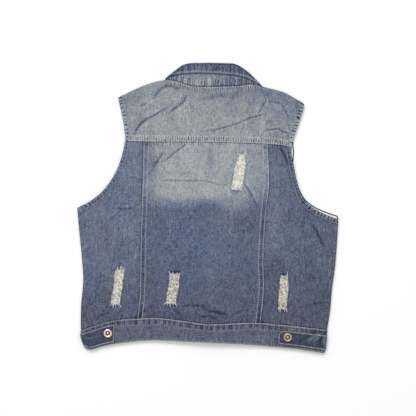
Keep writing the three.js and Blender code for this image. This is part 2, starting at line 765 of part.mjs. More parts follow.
const degrees = (value) => (value * Math.PI) / 180;
add("collar_front_left", collarLeaf(-91, -17, degrees(198), degrees(268)), INDIGO);
add("collar_front_right", collarLeaf(17, 102, degrees(-88), degrees(-18)), INDIGO);

FRONT_BUTTONS.forEach((y, i) => {
  const button = add("button_front_" + (i + 1), lathed(HIDDEN_BUTTON_PROFILE, 16), METAL);
  button.rotation.x = Math.PI;
  button.position.set(0, y, FRONT_RISE - SEAM_GAP);
});

// The origin is the middle of the space the vest takes up, on the surface.
const extent = new THREE.Box3().setFromObject(vest, true);
const middle = extent.getCenter(new THREE.Vector3());
vest.position.set(-middle.x, -middle.y, -extent.min.z);

export default vest;
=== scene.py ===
# %% [markdown]
# # A washed denim vest, lying face down
# The vest lies flat with its back up: a pale yoke, a centre panel that fades downwards, two side
# panels, a waistband with a buttoned tab at each side, and a turned collar. The solids that carry
# its size are already there. This lesson dresses them: every solid is replaced by thin cloth of
# the same form, with its creases, seams, thread and wear.

# %% Load the solids and keep their box
import math

import bmesh
import bpy
import numpy as np
from mathutils import Matrix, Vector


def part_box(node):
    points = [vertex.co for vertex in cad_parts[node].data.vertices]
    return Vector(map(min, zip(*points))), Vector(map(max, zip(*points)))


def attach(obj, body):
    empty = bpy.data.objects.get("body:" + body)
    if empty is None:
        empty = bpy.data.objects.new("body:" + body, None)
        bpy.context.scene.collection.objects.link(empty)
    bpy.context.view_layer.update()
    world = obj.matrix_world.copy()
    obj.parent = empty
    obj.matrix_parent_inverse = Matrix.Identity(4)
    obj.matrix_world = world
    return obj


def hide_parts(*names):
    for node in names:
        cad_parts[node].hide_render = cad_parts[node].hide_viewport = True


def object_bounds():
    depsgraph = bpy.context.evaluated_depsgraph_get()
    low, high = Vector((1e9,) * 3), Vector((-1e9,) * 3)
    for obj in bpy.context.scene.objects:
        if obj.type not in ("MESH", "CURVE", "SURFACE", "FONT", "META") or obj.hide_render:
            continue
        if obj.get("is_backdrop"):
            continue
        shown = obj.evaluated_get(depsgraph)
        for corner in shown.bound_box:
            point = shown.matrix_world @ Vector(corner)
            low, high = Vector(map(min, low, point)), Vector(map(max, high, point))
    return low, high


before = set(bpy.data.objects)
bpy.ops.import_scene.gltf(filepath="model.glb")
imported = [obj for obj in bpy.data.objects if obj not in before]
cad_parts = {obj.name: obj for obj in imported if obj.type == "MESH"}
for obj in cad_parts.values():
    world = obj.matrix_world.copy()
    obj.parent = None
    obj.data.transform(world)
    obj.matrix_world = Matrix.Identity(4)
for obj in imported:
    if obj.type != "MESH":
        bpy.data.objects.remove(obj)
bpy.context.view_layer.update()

# %% [markdown]
# ## The maker's measurements
# A vest is drafted in millimetres from the centre back, so every table here is too. One known
# point, the left tab's button, tells where that draft lies in the solids' frame. Tables and
# smooth curves through them are easier to correct against a photograph than sculpted points.

# %% Draft and frame
MM = 0.001
LEFT_BUTTON = (-193.5, -255.0)
low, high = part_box("button_tab_left")
DRAFT_ORIGIN = np.array([(low.x + high.x) / 2, (low.y + high.y) / 2, 0.0])
DRAFT_ORIGIN[:2] -= np.array(LEFT_BUTTON) * MM
CLOTH = 1.2  # one ply of denim
DOUBLE = 2.2  # two plies, pressed
print("centre back:", DRAFT_ORIGIN.round(4), "m")


def smooth(t):
    t = np.clip(t, 0, 1)
    return t * t * (3 - 2 * t)


def bell(t, spread):
    return np.exp(-((t / spread) ** 2))


def mix(a, b, t):
    return a + (b - a) * t


def through(rows):
    """A smooth curve through rows of (place, value)."""
    a, b = np.array(rows, float).T
    last = len(a) - 1
    before = np.maximum(np.arange(last + 1) - 1, 0)
    after = np.minimum(np.arange(last + 1) + 1, last)
    slope = (b[after] - b[before]) / (a[after] - a[before])

    def curve(place):
        place = np.asarray(place, float)
        i = np.clip(np.searchsorted(a, place) - 1, 0, last - 1)
        h = a[i + 1] - a[i]
        s = np.clip((place - a[i]) / h, 0, 1)
        inside = mix(b[i], b[i + 1], smooth(s))
        inside += s * (1 - s) ** 2 * h * slope[i] + s * s * (s - 1) * h * slope[i + 1]
        outside = slope[0] * np.minimum(place - a[0], 0) + slope[-1] * np.maximum(place - a[-1], 0)
        return inside + outside

    return curve


def bezier_points(stretches, count):
    """Points along a chain of Bezier stretches, without the joints twice."""
    t = np.linspace(0, 1, count)[:, None]
    weights = ((1 - t) ** 3, 3 * t * (1 - t) ** 2, 3 * t * t * (1 - t), t**3)
    chain = [sum(w * np.array(point, float) for w, point in zip(weights, stretch)) for stretch in stretches]
    return np.concatenate([points[:-1] for points in chain] + [[stretches[-1][-1]]])


def along_bezier(stretches):
    """The x of a chain of Bezier stretches at height y."""
    x, y = bezier_points(stretches, 300).T
    return lambda place: np.interp(place, y, x)


def side_then_armhole(side, armhole):
    arm, underarm = along_bezier(armhole), armhole[0][0][1]
    return lambda y: np.where(np.asarray(y) <= underarm, side(y), arm(y))

# %% Outlines of the vest
# The sides and long seams are rows of (y, x), all other lines rows of (x, y).
left_side = through([
    (-284, -238), (-258, -247), (-200, -248.5), (-150, -245.5), (-110, -248.8), (-50, -256), (-5, -261),
])
right_side = through([
    (-285, 240), (-240, 244.5), (-202, 249.7), (-158, 252.7), (-110, 258), (-60, 260.8), (-10, 262.5),
])
hem = through([
    (-247, -281), (-229, -289), (-205, -282), (-181, -276.5), (-133, -269.5), (-97, -267),
    (-25, -268.6), (71, -271), (143, -275), (191, -279), (241, -285.6),
])
waist_seam = through([
    (-248, -250.5), (-218, -239.5), (-181, -229), (-127, -223.5), (-92, -222), (-40, -227),
    (10, -232), (92, -227), (150, -230), (245, -238),
])
yoke_seam = through([(-169, 130), (-100, 130), (0, 131.5), (100, 131), (142, 129.3), (164, 125.5)])
yoke_top = through([
    (-184, 216), (-162, 228.4), (-124.6, 245.2), (-94, 253.6), (-68, 252.5), (-40, 243.8), (0, 242.8),
    (59, 246.4), (84, 249.4), (106, 244.8), (146, 235.4), (176, 220), (188, 212),
])
left_princess = through([(-225, -135.9), (-177, -132), (-67, -132.5), (53, -131.2), (130, -131)])
right_princess = through([(-228, 111.5), (-161, 117), (-100, 114.5), (0, 118), (50, 122.4), (130, 118)])
collar_roll = through([
    (-94, 254), (-75, 270.4), (-52, 286.5), (-21, 290), (28, 290.6), (50, 289), (75, 273.8), (106, 244.5),
])
collar_edge = through([
    (-86, 258), (-79, 263), (-61, 266.7), (-31, 269.6), (23, 268.6), (56, 266), (73, 261.7), (98, 249),
])
front_neck = through([
    (-94, 253.6), (-86, 228), (-68, 195), (-36, 169), (3, 161), (44, 169), (78, 192), (97, 220), (106, 244.8),
])
LEFT_ARMHOLE = [
    [(-261, -5), (-212, 14), (-178, 58), (-168, 130)],
    [(-168, 130), (-166.5, 146), (-179, 200), (-184, 216)],
]
RIGHT_ARMHOLE_BACK = [
    [(262.5, -16), (240, -11), (210, 3), (197, 16.5)],
    [(197, 16.5), (184, 30), (174.5, 66), (170, 92)],
    [(170, 92), (168.8, 99), (165.2, 108), (164.6, 120)],
    [(164.6, 120), (165.6, 144), (183, 180), (188.5, 212)],
]
RIGHT_ARMHOLE_FRONT = [
    [(262.5, -10.5), (242, -4), (216, 3), (198.5, 19)],
    [(198.5, 19), (184, 32), (174, 68), (169.8, 90)],
    [(169.8, 90), (169.6, 97), (171.2, 106), (170.8, 118)],
    [(170.8, 118), (170, 128), (168, 138), (168, 146)],
    [(168, 146), (169, 155), (182.5, 179), (188.5, 212)],
]
LEFT_ARMHOLE_FRONT = [[(x + 1.5, y) for x, y in stretch] for stretch in LEFT_ARMHOLE]
RIPS = {  # lower end x, y, width; upper end x, y, width; extra width between them
    "rip_weft_1": (57, 38, 18, 67, 109, 9, 5.5),
    "rip_weft_2": (-180, -198, 16.5, -171.5, -127, 16, 1.0),
    "rip_weft_3": (-68.8, -193.5, 19.0, -61.5, -132.5, 18.5, 1.0),
    "rip_weft_4": (154.5, -199, 16, 157.5, -132, 11.5, 3.0),
}
left_back = side_then_armhole(left_side, LEFT_ARMHOLE)
right_back = side_then_armhole(right_side, RIGHT_ARMHOLE_BACK)
left_front = side_then_armhole(left_side, LEFT_ARMHOLE_FRONT)
right_front = side_then_armhole(right_side, RIGHT_ARMHOLE_FRONT)
print("hem to neck at the centre:", round(float(yoke_top(0) - hem(0))), "mm")

# %% [markdown]
# ## How the layers lie
# The front lies on the table, held up a little by its buttons; the back lies over it and turns
# down into it at the side and shoulder folds. One height function for each layer keeps all
# pieces of a layer in one smooth surface, which no piece by piece modelling would.

# %% Heights of the two layers
FOLD_HEIGHT = 2.7  # where front and back meet
FOLD_RISE = 2.3  # how much higher that is over the front collar
FOLD_WIDTH = 5.0  # the cloth turns down over this width
CORNER_WIDTH = 14.0  # and less and less over this width past a fold's end
LEFT_UNDERARM, RIGHT_UNDERARM = LEFT_ARMHOLE[0][0], RIGHT_ARMHOLE_BACK[0][0]
LEFT_NECK, RIGHT_NECK = (-94.0, 254.0), (106.0, 244.5)
STRIP_HALF = 15.0  # half width of the button strips
COLLAR_MIDDLE, COLLAR_REACH = (6, 252), (155, 152)  # the oval that the front collar fills


def past_end(x, y, end):
    return np.hypot(x - end[0], y - end[1]) * FOLD_WIDTH / CORNER_WIDTH


def fold_distance(x, y):
    """Distance from the side and shoulder folds, where the back turns down to the front."""
    left = np.where(y <= LEFT_UNDERARM[1], x - left_side(y), past_end(x, y, LEFT_UNDERARM))
    right = np.where(y <= RIGHT_UNDERARM[1], right_side(y) - x, past_end(x, y, RIGHT_UNDERARM))
    beside_neck = (x <= LEFT_NECK[0]) | (x >= RIGHT_NECK[0])
    from_neck = np.minimum(past_end(x, y, LEFT_NECK), past_end(x, y, RIGHT_NECK))
    shoulder = np.where(beside_neck, yoke_top(x) - y, from_neck)
    return np.maximum(0, np.minimum(np.minimum(left, right), shoulder))


def turned(distance):
    """0 at a fold and 1 past its width, as a quarter circle."""
    return np.sqrt(1 - (1 - np.clip(distance / FOLD_WIDTH, 0, 1)) ** 2)


def over_collar(x, y):
    reach = np.hypot((x - COLLAR_MIDDLE[0]) / COLLAR_REACH[0], (y - COLLAR_MIDDLE[1]) / COLLAR_REACH[1])
    return 1 - smooth((reach - 1) / 0.15)


print("shoulders:", round(float(right_back(200) - left_back(200))), "mm wide")

# %% [markdown]
# ## Folds and creases
# Broad folds come from the layers beneath and are low and soft. Creases come from washing: they
# are narrow, bend a little and fade out at both ends. Their valleys are darkened, partly by kept
# dye and partly by painted shade, and along some ridges a pale painted highlight is laid. They are
# placed one by one, as a simulation would not put them where this vest has them.

# %% Broad folds and washed-in creases
FOLDS = [  # x0, y0, x1, y1, bow, width, depth
    (-150, 152, -78, 206, 12, 13, 1.6),
    (-96, 176, -66, 222, 4, 11, 1.3),
    (-40, 150, 96, 190, 6, 12, 1.1),
    (76, 176, 92, 226, -4, 11, 1.2),
    (100, 150, 150, 156, 10, 12, 1.3),
    (-92, 62, 40, 50, 4, 12, 1.0),
    (-100, 82, -44, 126, 3, 12, 1.2),
    (70, 50, 100, 4, 2, 11, 1.1),
    (140, 118, 168, 60, 3, 12, 1.4),
    (190, -40, 214, -96, 4, 14, 1.4),
    (-60, -196, 44, -212, 4, 13, 1.5),
    (-182, -4, -142, -2, -3, 12, 0.9),
]
CREASES = [  # width, depth, dye kept and painted shade (below 0 a painted pale highlight), points
    (3.8, 1.2, 1.15, [(-149, 144), (-143, 158), (-131, 172), (-117, 180), (-100, 190), (-76, 206)]),
    (3.4, 1.1, 1.0, [(-46, 224), (-54, 211), (-66, 201), (-86, 184)]),
    (2.6, -0.7, -0.5, [(-44, 212), (-54, 200), (-70, 190)]),
    (5.5, 0.9, 0.68, [(-115, 214), (-106, 226), (-97, 237), (-81, 243), (-63, 238), (-45, 241)]),
    (3.4, 0.6, 0.8, [(-127, 205), (-134, 203), (-143, 200)]),
    (1.9, 0.8, 1.0, [(112, 190), (83, 183), (60, 172), (42, 166), (14, 157), (-6, 153), (-28, 148)]),
    (3.2, 0.8, 0.8, [(99, 193), (106, 207), (113, 218)]),
    (2.6, 0.5, 0.5, [(108, 226), (113, 232), (121, 226)]),
    (2.0, 0.8, 1.1, [(159, 140), (157, 153), (146, 157), (137, 162), (127, 160), (109, 156), (105, 148)]),
    (2.4, 0.6, 0.6, [(116, 214), (126, 215), (142, 211), (152, 198), (157, 182), (158, 170)]),
    (2.2, 0.4, 0.3, [(112, 172), (124, 176), (140, 175), (150, 168)]),
    (2.2, 0.4, 0.3, [(128, 200), (138, 196), (146, 188), (148, 176)]),
    (7.0, 0.5, 0.4, [(34, 229), (12, 222), (-20, 216)]),
    (6.0, 0.4, 0.3, [(56, 236), (42, 220), (36, 212)]),
    (2.2, 0.9, 1.0, [(-45, 128), (-52, 122), (-61, 115), (-75, 104), (-86, 94)]),
    (3.6, 0.9, 0.9, [(-91, 110), (-100, 96), (-107, 85), (-111, 74)]),
    (3.0, 0.6, 0.45, [(-95, 88), (-81, 98), (-68, 102)]),
    (1.9, 0.8, 0.95, [(-97, 54), (-59, 54), (-29, 53.5), (-9, 54), (4, 52), (18, 48), (42, 46.5)]),
    (2.2, 0.8, 0.9, [(71, 52), (85, 32), (99, 3)]),
    (2.6, -0.5, -0.4, [(77, 52), (91, 32), (103, 8)]),
    (3.0, 0.9, 0.8, [(143, 124), (152, 108), (161, 88)]),
    (1.9, 0.6, 0.5, [(-150, -3), (-164, -6), (-186, -4)]),
    (2.4, -0.4, -0.3, [(-150, 2), (-166, 0), (-186, 2)]),
    (3.0, 0.9, 0.8, [(46, -212), (20, -207.5), (-4, -204)]),
    (2.2, 0.7, 0.45, [(6, -203), (-10, -197), (-31, -196), (-52, -199)]),
    (2.2, 0.5, 0.35, [(12, -198), (-8, -193), (-24, -194)]),
    (2.4, 0.5, 0.4, [(24, -222), (10, -216), (-6, -217), (-20, -213)]),
    (2.4, 0.6, 0.4, [(-134, -222), (-122, -208), (-110, -202), (-96, -200)]),
    (2.2, 0.5, 0.35, [(-108, -219), (-96, -212), (-84, -210)]),
    (2.2, 0.5, 0.35, [(52, -215), (70, -205), (92, -200)]),
    (2.4, 0.5, 0.35, [(205, -224), (188, -214), (168, -212)]),
    (2.2, 0.5, 0.3, [(-220, -228), (-205, -218), (-192, -216)]),
    (3.0, 0.6, 0.45, [(-66, -202), (-56, -209), (-45, -219)]),
    (2.8, 0.5, 0.4, [(215, -186), (228, -184), (242, -184)]),
    (3.2, 0.7, 0.4, [(193, -14), (193, -34)]),
    (3.6, 0.9, 0.6, [(209, -26), (220, -43), (236, -78)]),
    (2.6, -0.6, -0.3, [(104, 150), (107, 171), (103, 198), (108, 219)]),
    (3.0, -0.6, -0.3, [(-131, 172), (-112, 186), (-92, 199)]),
    (2.2, -0.7, -0.65, [(115, 222), (115, 214), (112, 206)]),
    (2.0, -0.4, -0.45, [(109, 158), (111, 166), (112, 176)]),
    (2.0, -0.8, -0.9, [(234, -247), (217, -254), (204, -264)]),
    (1.8, -0.7, -0.8, [(236, -252), (222, -258), (214, -266)]),
    (1.8, -0.7, -0.9, [(241, -250), (239, -262), (241, -272)]),
    (2.2, 0.9, 0.9, [(233, -249), (230, -261), (235, -274)]),
    (2.0, 0.7, 0.6, [(212, -250), (198, -256), (188, -263)]),
    (1.8, -0.5, -0.6, [(-206, -249), (-220, -254), (-236, -256)]),
    (1.8, -0.4, -0.5, [(-212, -262), (-226, -266), (-240, -265)]),
]
print(len(FOLDS), "broad folds and", len(CREASES), "creases")

# %% Height and dye of the folds and creases
def broad_folds(x, y):
    """Each fold is a soft trough with a lower swelling beside it; the button strips press them flat."""
    relief = np.zeros_like(x)
    for x0, y0, x1, y1, bow, width, depth in FOLDS:
        length = math.hypot(x1 - x0, y1 - y0)
        ux, uy = (x1 - x0) / length, (y1 - y0) / length
        t = ((x - x0) * ux + (y - y0) * uy) / length
        across = (y - y0) * ux - (x - x0) * uy - bow * 4 * t * (1 - t)
        ends = smooth((t + 0.1) / 0.3) * smooth((1.1 - t) / 0.3)
        relief -= depth * ends * bell(across, width * 0.7)
        relief += 0.7 * depth * ends * bell(across - 1.3 * width, width * 0.8)
    return relief * (1 - 0.85 * bell(x, 2.4 * STRIP_HALF))


def near_path(x, y, points, reach):
    """For each place, its distance from a smooth path and how far along the path it is, 0 to 1."""
    points = np.array(points, float)
    chord = np.concatenate([[0], np.cumsum(np.hypot(*np.diff(points, axis=0).T))])
    path_x, path_y = through(list(zip(chord, points[:, 0]))), through(list(zip(chord, points[:, 1])))
    t = np.linspace(0, chord[-1], max(4, int(chord[-1] / 4)))
    px, py = path_x(t), path_y(t)
    distance, share = np.full(x.shape, 1e3), np.zeros(x.shape)
    near = (x > px.min() - reach) & (x < px.max() + reach) & (y > py.min() - reach) & (y < py.max() + reach)
    if near.any():
        nx, ny = x[near], y[near]
        best, where = distance[near], share[near]
        for k in range(len(t) - 1):
            dx, dy = px[k + 1] - px[k], py[k + 1] - py[k]
            s = np.clip(((nx - px[k]) * dx + (ny - py[k]) * dy) / (dx * dx + dy * dy), 0, 1)
            d = np.hypot(nx - px[k] - s * dx, ny - py[k] - s * dy)
            closer = d < best
            best = np.where(closer, d, best)
            where = np.where(closer, (k + s) / (len(t) - 1), where)
        distance[near], share[near] = best, where
    return distance, share


def crease_marks(x, y):
    """Depth of the creases, and how much each darkens the colour: partly kept dye, partly painted shade;
    below 0 it is a painted highlight.
    """
    depth, dye_and_painted_light = np.zeros_like(x), np.zeros_like(x)
    for width, deep, dark, points in CREASES:
        distance, share = near_path(x, y, points, 3 * width)
        ends = smooth(share / 0.12) * smooth((1 - share) / 0.4) * 0.75 + 0.25
        valley = bell(distance, width)
        depth -= deep * ends * (valley - 0.35 * bell(distance, 2.2 * width))
        dye_and_painted_light += dark * ends * bell(distance, 0.65 * width)
    return depth, dye_and_painted_light

# %% Smooth random wandering
def hashed(i, seed):
    v = np.sin(i * 127.1 + seed * 311.7) * 43758.5453
    return 2 * (v - np.floor(v)) - 1


def wobble(t, size, seed):
    """Smooth random wandering from -1 to 1, one bump every 2 sizes or so."""
    i = np.floor(t / size)
    f = smooth(t / size - i)
    return mix(hashed(i, seed), hashed(i + 1, seed), f)


def ripple(x, y, size, seed):
    """The same over a surface."""
    j = np.floor(y / size)
    f = smooth(y / size - j)
    return mix(wobble(x + 37.7 * size * j, size, seed), wobble(x + 37.7 * size * (j + 1), size, seed), f)

# %% [markdown]
# ## Seams pucker
# Felled seams shrink more than the cloth, so a washed vest has short ridges across every seam:
# their crests are rubbed pale and their valleys stay dark. Stitch rows and turned edges are
# rubbed pale too. Just past a seam's raised edge the cloth is darker, partly from kept dye and
# partly from painted shadow of that edge. Each seam gives a distance from it for any place,
# and the same marks then serve form and colour.

# %% Distances from a seam, and lines beside it
FELL_WIDTH = 13  # yoke seam
PRINCESS_WIDTH = 11  # the two long back seams
HEM_WIDTH = 10  # armhole hem
WAIST_WIDTH = 16
AWAY = 99  # a distance at which a seam leaves no mark


def beside_armhole(stretches, reach=22):
    """Distance from an armhole, and the place along it in mm."""
    chain = bezier_points(stretches, 24)[1:]
    length = np.hypot(*np.diff(chain, axis=0).T).sum()

    def measure(x, y):
        distance, share = near_path(x, y, chain, reach)
        return distance, share * length

    return measure


def band(distance, start, end, soft=2.0):
    """1 between start and end, fading out over soft."""
    return bell(np.maximum(0, np.maximum(start - distance, distance - end)), soft)


def lines(distance, *rows):
    """Lines along a seam, each with its place, its strength, dark below 0, and its width."""
    return sum(strength * bell(distance - place, width) for place, strength, width in rows)


def felled(distance, width):
    """Pale along both stitch rows of a felled seam, dark between them, and dark just past its raised edge:
    there partly kept dye and partly painted shadow.
    """
    return lines(distance, (1.1, 0.34, 0.9), (width - 1.6, 0.16, 1.1), (-0.9, -0.20, 1.0), (4.6, -0.10, 1.8))


def strongest(seams):
    """Of seams, each a pull and a place along it in mm, the one that pulls hardest at each place."""
    pulls = np.stack([pull for pull, _ in seams])
    places = np.stack([along for _, along in seams])
    hardest = pulls.argmax(0)[None]
    return np.take_along_axis(pulls, hardest, 0)[0], np.take_along_axis(places, hardest, 0)[0]


ARMHOLES_BACK = (beside_armhole(LEFT_ARMHOLE), beside_armhole(RIGHT_ARMHOLE_BACK))
ARMHOLES_FRONT = (beside_armhole(LEFT_ARMHOLE_FRONT), beside_armhole(RIGHT_ARMHOLE_FRONT))
print("seams that mark the cloth: armholes, yoke, neck, two long seams, waist and hem")

# %% What sewing does to the cloth
ARMHOLE_LINES = [(1.8, 0.16, 1.0), (8.8, 0.24, 1.2), (0, -0.30, 0.9), (5.5, -0.16, 1.6), (11.0, -0.12, 1.2)]


def armhole_marks(x, y, left, right):
    """The hems of the armholes strain most at the shoulder tips and under the arms."""
    seams, shade = [], np.zeros_like(x)
    for measure in (left, right):
        distance, along = measure(x, y)
        strained = 0.38 + 0.8 * smooth((y - 110) / 20) + 1.3 * smooth((-218 - x) / 22)
        strained = strained + 1.7 * smooth((x - 190) / 20) * smooth((35 - y) / 20)
        strained = strained + 0.5 * smooth((x - 150) / 10) * smooth((y - 120) / 10)
        seams.append((strained * band(distance, 2, 5.5, 1.5), 0.65 * along))
        shade = shade + lines(distance, *ARMHOLE_LINES)
    return seams, shade


def waist_marks(x, y):
    """The waistband has dark bars under its seam and a blot where each long seam meets it."""
    waist, edge = waist_seam(x) - y, y - hem(x)
    seams = [(0.25 * band(waist, 3, 12), x), (0.4 * band(waist, -4, 0), x), (0.4 * band(edge, 0, 5), x)]
    bars = np.sin(0.5 * x + 2.6 * wobble(x, 14, 8)) + 0.6 * wobble(x, 5.5, 7) + 0.5 * wobble(x, 31, 6)
    shade = felled(waist, WAIST_WIDTH) + lines(edge, (1.0, 0.26, 1.3))
    shade = shade - 0.27 * band(waist, 5, 11.5, 1.5) * (smooth((bars - 0.05) / 0.5) - 0.35)
    for seam in (left_princess, right_princess):
        shade = shade - 0.45 * bell(x - seam(y), 6) * bell(waist + 2, 3)
    return seams, shade

# %% Marks of the back and of the fronts
def back_marks(x, y):
    """How hard sewing pulls at the back, the place along that seam, and how pale or dark it is."""
    seams, shade = armhole_marks(x, y, *ARMHOLES_BACK)
    low_seams, low_shade = waist_marks(x, y)
    yoke = y - yoke_seam(x)
    neck = np.where((x > -92) & (x < 104), yoke_top(x) - y, AWAY)
    seams += low_seams
    seams += [(band(yoke, 2.5, 10.5), x), (0.4 * band(yoke, -5, 0, 3), x), (0.7 * band(neck, 0, 6, 3), x)]
    shade = shade + low_shade + felled(yoke, FELL_WIDTH) + 0.05 * band(yoke, 1, 12)
    # The dark line just past the yoke seam's raised edge is painted shadow of that edge; the neck seam's dark
    # line is the joint itself.
    shade = shade + lines(yoke, (-0.6, -0.2, 0.9)) + lines(neck, (0, -0.2, 1.0))
    # The dark line along the side and shoulder folds is painted shade, where the cloth turns down away from
    # the light.
    shade = shade + lines(fold_distance(x, y), (0, -0.28, 1.2)) + rip_shade(x, y)
    inside = (yoke < 1) & (y > waist_seam(x))
    for distance in (x - left_princess(y), right_princess(y) - x):
        pull = 0.27 * band(distance, 3, 8.5) + 0.15 * band(distance, -4, 0)
        seams.append((np.where(inside, pull, 0), y))
        blots = band(distance, 4, 8, 1.5) * smooth((wobble(y + x.mean(), 9, 9) - 0.3) / 0.3)
        blots = (0.13 + 0.14 * smooth(y / 20)) * blots
        shade = shade + np.where(inside, felled(distance, PRINCESS_WIDTH + 0.6) - blots, 0)
    return *strongest(seams), shade


def front_marks(x, y):
    """The same for the fronts and their button strips."""
    seams, shade = armhole_marks(x, y, *ARMHOLES_FRONT)
    low_seams, low_shade = waist_marks(x, y)
    strip = np.abs(x) - STRIP_HALF
    seams += [*low_seams, (0.6 * band(strip, -6, 5), y)]
    return *strongest(seams), shade + low_shade + felled(-strip, 14)

# %% What the rips do to it
def across_rip(rip, y):
    """Middle and half width of a rip at each height; its sides are ragged."""
    x0, y0, w0, x1, y1, w1, bulge = rip
    t = np.clip((y - y0) / (y1 - y0), 0, 1)
    half = mix(w0, w1, t) / 2 + 0.5 * bulge * np.sin(math.pi * t) + 0.6 * wobble(y, 3.7, 17)
    return mix(x0, x1, t) + 0.5 * wobble(y, 4.6, 18), half


def rip_shade(x, y):
    """Darker round the rips, most of it past their ends; the narrow dark border along their long sides is
    painted shadow.
    """
    shade = np.zeros_like(x)
    for rip in RIPS.values():
        middle, half = across_rip(rip, y)
        beside = np.maximum(0, np.abs(x - middle) - half)
        past = np.maximum(0, np.maximum(rip[1] - y, y - rip[4]))
        shade = shade - 0.30 * bell(past - 2.5, 2.5) * bell(beside, 1.5) * (past > 0)
        # Painted shadow along the long sides of each rip.
        shade = shade - 0.12 * bell(beside - 1.0, 1.6) * bell(past, 1.0)
    return shade


def pucker_height(pull, along):
    return 0.22 * pull * (wobble(along, 3.1, 3) + 0.5 * wobble(along, 7.3, 4))


print("rips:", {name: round(rip[4] - rip[1]) for name, rip in RIPS.items()}, "mm long")

# %% The outer surface of each layer
BACK_LOW, BACK_RISE = 5.0, 4.9  # top of the back near its sides, and how much higher its crest is
BACK_CREST, BACK_SPREAD = 8, 75  # x of that crest, over the button strips, and its width
COLLAR_RISE = 2.6  # the front collar lifts what lies over it
FRONT_RISE, FRONT_REACH = 2.8, 150  # the button heads lift the front strip, less and less to the sides
UNDER_STRIP_RISE = 2.7  # the right front's strip lies over the left front's
SEAM_GAP = 0.3


def plain_top(x, y):
    """Top of the back with its broad folds alone."""
    rise = mix(COLLAR_RISE * 0.85 * over_collar(x, y), BACK_RISE, bell(x - BACK_CREST, BACK_SPREAD))
    edge = FOLD_HEIGHT + FOLD_RISE * over_collar(x, y)
    return mix(edge, BACK_LOW + rise + broad_folds(x, y), turned(fold_distance(x, y)))


def back_top(x, y):
    pull, along, _ = back_marks(x, y)
    depth, _ = crease_marks(x, y)
    fine = depth + pucker_height(pull, along)
    fine = fine + 0.35 * ripple(x, y, 23, 11) + 0.22 * ripple(x + 0.4 * y, y, 11, 12)
    return plain_top(x, y) + fine * turned(fold_distance(x, y))


def front_creases(x, y):
    """The fronts are creased like the back, but in other places."""
    return crease_marks(-0.92 * x + 9, y + 6)


def front_plain(x, y):
    edge = FOLD_HEIGHT + (FOLD_RISE - SEAM_GAP) * over_collar(x, y) - SEAM_GAP
    over_strip = FRONT_RISE * (1 - smooth(np.abs(x) / FRONT_REACH))
    flat = np.maximum(over_strip, COLLAR_RISE * over_collar(x, y))
    return mix(edge, flat, turned(fold_distance(x, y)))


def front_under(x, y):
    """Outer face of the front: it lies on the table, so its creases only rise from there."""
    pull, along, _ = front_marks(x, y)
    depth, _ = front_creases(x, y)
    fine = np.abs(pucker_height(pull, along)) + 0.5 * np.abs(depth) + 0.15 * (1 + ripple(x, y, 19, 13))
    return front_plain(x, y) + fine * turned(fold_distance(x, y))


def front_under_right(x, y):
    lift = UNDER_STRIP_RISE * (1 - smooth((x - STRIP_HALF) / 45))
    return front_under(x, y) + lift * turned(fold_distance(x, y))


crest = plain_top(np.array([float(BACK_CREST)]), np.array([0.0]))[0]
print("crest of the back:", round(crest, 1), "mm above the table")

# %% [markdown]
# ## Cloth panels
# A panel is a grid of small squares laid between four seams, then given its thickness by a
# Solidify modifier. The grid comes from one operator; its rows and columns are then moved to
# their places, closer together where the cloth turns over a fold. A rip is a hole in the grid.

# %% Lay a grid of cloth between four seams
TURN = [0.05, 0.35, 0.9, 1.7, 2.8, 4.2]  # mm from a fold, closer where the cloth turns more
SEWN = [0.15]  # half the gap between two pieces


def stops(start, cells, end):
    """Places across a panel, each a share of the way and a shift in mm."""
    rows = [(0.0, d) for d in start]
    for i in range(1, cells):
        share = i / cells
        rows.append((share, start[-1] * (1 - share) - end[-1] * share))
    return np.array(rows + [(1.0, -d) for d in reversed(end)])


def grid_places(columns, rows, left, right, bottom, top, ease=1):
    """A bmesh grid and the x and y in mm of its vertices between the four edges.

    A larger ease keeps the middle rows level.
    """
    sheet = bmesh.new()
    bmesh.ops.create_grid(sheet, x_segments=len(columns) - 1, y_segments=len(rows) - 1, size=0.5)
    unit = np.array([v.co[:2] for v in sheet.verts]) + 0.5
    across = columns[np.rint(unit[:, 0] * (len(columns) - 1)).astype(int)]
    along = rows[np.rint(unit[:, 1] * (len(rows) - 1)).astype(int)]
    x = np.full(len(unit), float(left(0.0) + right(0.0)) / 2)
    share, middle_low, middle_high = along[:, 0], bottom(x).mean(), top(x).mean()
    for _ in range(40):
        y = mix(middle_low, middle_high, share) + along[:, 1]
        y = y + (bottom(x) - middle_low) * (1 - share) ** ease + (top(x) - middle_high) * share**ease
        x = mix(left(y), right(y), across[:, 0]) + across[:, 1]
    return sheet, x, y

# %% Places on a layer and round a rip
def on_layer(height, x, y, lift):
    """Points of a layer in mm, moved out along its normal by lift."""
    h = 0.02
    gx = (height(x + h, y) - height(x - h, y)) / (2 * h)
    gy = (height(x, y + h) - height(x, y - h)) / (2 * h)
    length = np.sqrt(1 + gx**2 + gy**2)
    return np.stack([x - gx / length * lift, y - gy / length * lift, height(x, y) + lift / length], 1)


def to_frame(points):
    return np.asarray(points) * MM + DRAFT_ORIGIN


def in_rip(x, y, rip, inset=0.0):
    middle, half = across_rip(rip, y)
    return (y > rip[1]) & (y < rip[4]) & (np.abs(x - middle) < half - inset)


def to_rip_edge(x, y, rip):
    """Moves the vertices nearest a rip's outline onto it, so the hole is not stepped."""
    low_end, high_end = rip[1], rip[4]
    for end in (low_end, high_end):
        middle, half = across_rip(rip, y)
        y = np.where((np.abs(y - end) < 1.1) & (np.abs(x - middle) < half + 1), end, y)
    middle, half = across_rip(rip, y)
    for edge in (middle - half, middle + half):
        x = np.where((np.abs(x - edge) < 1.05) & (y >= low_end) & (y <= high_end), edge, x)
    return x, y

# %% Make an object of it
def add_object(name, data):
    made = bpy.data.objects.new(name, data)
    bpy.context.scene.collection.objects.link(made)
    return made


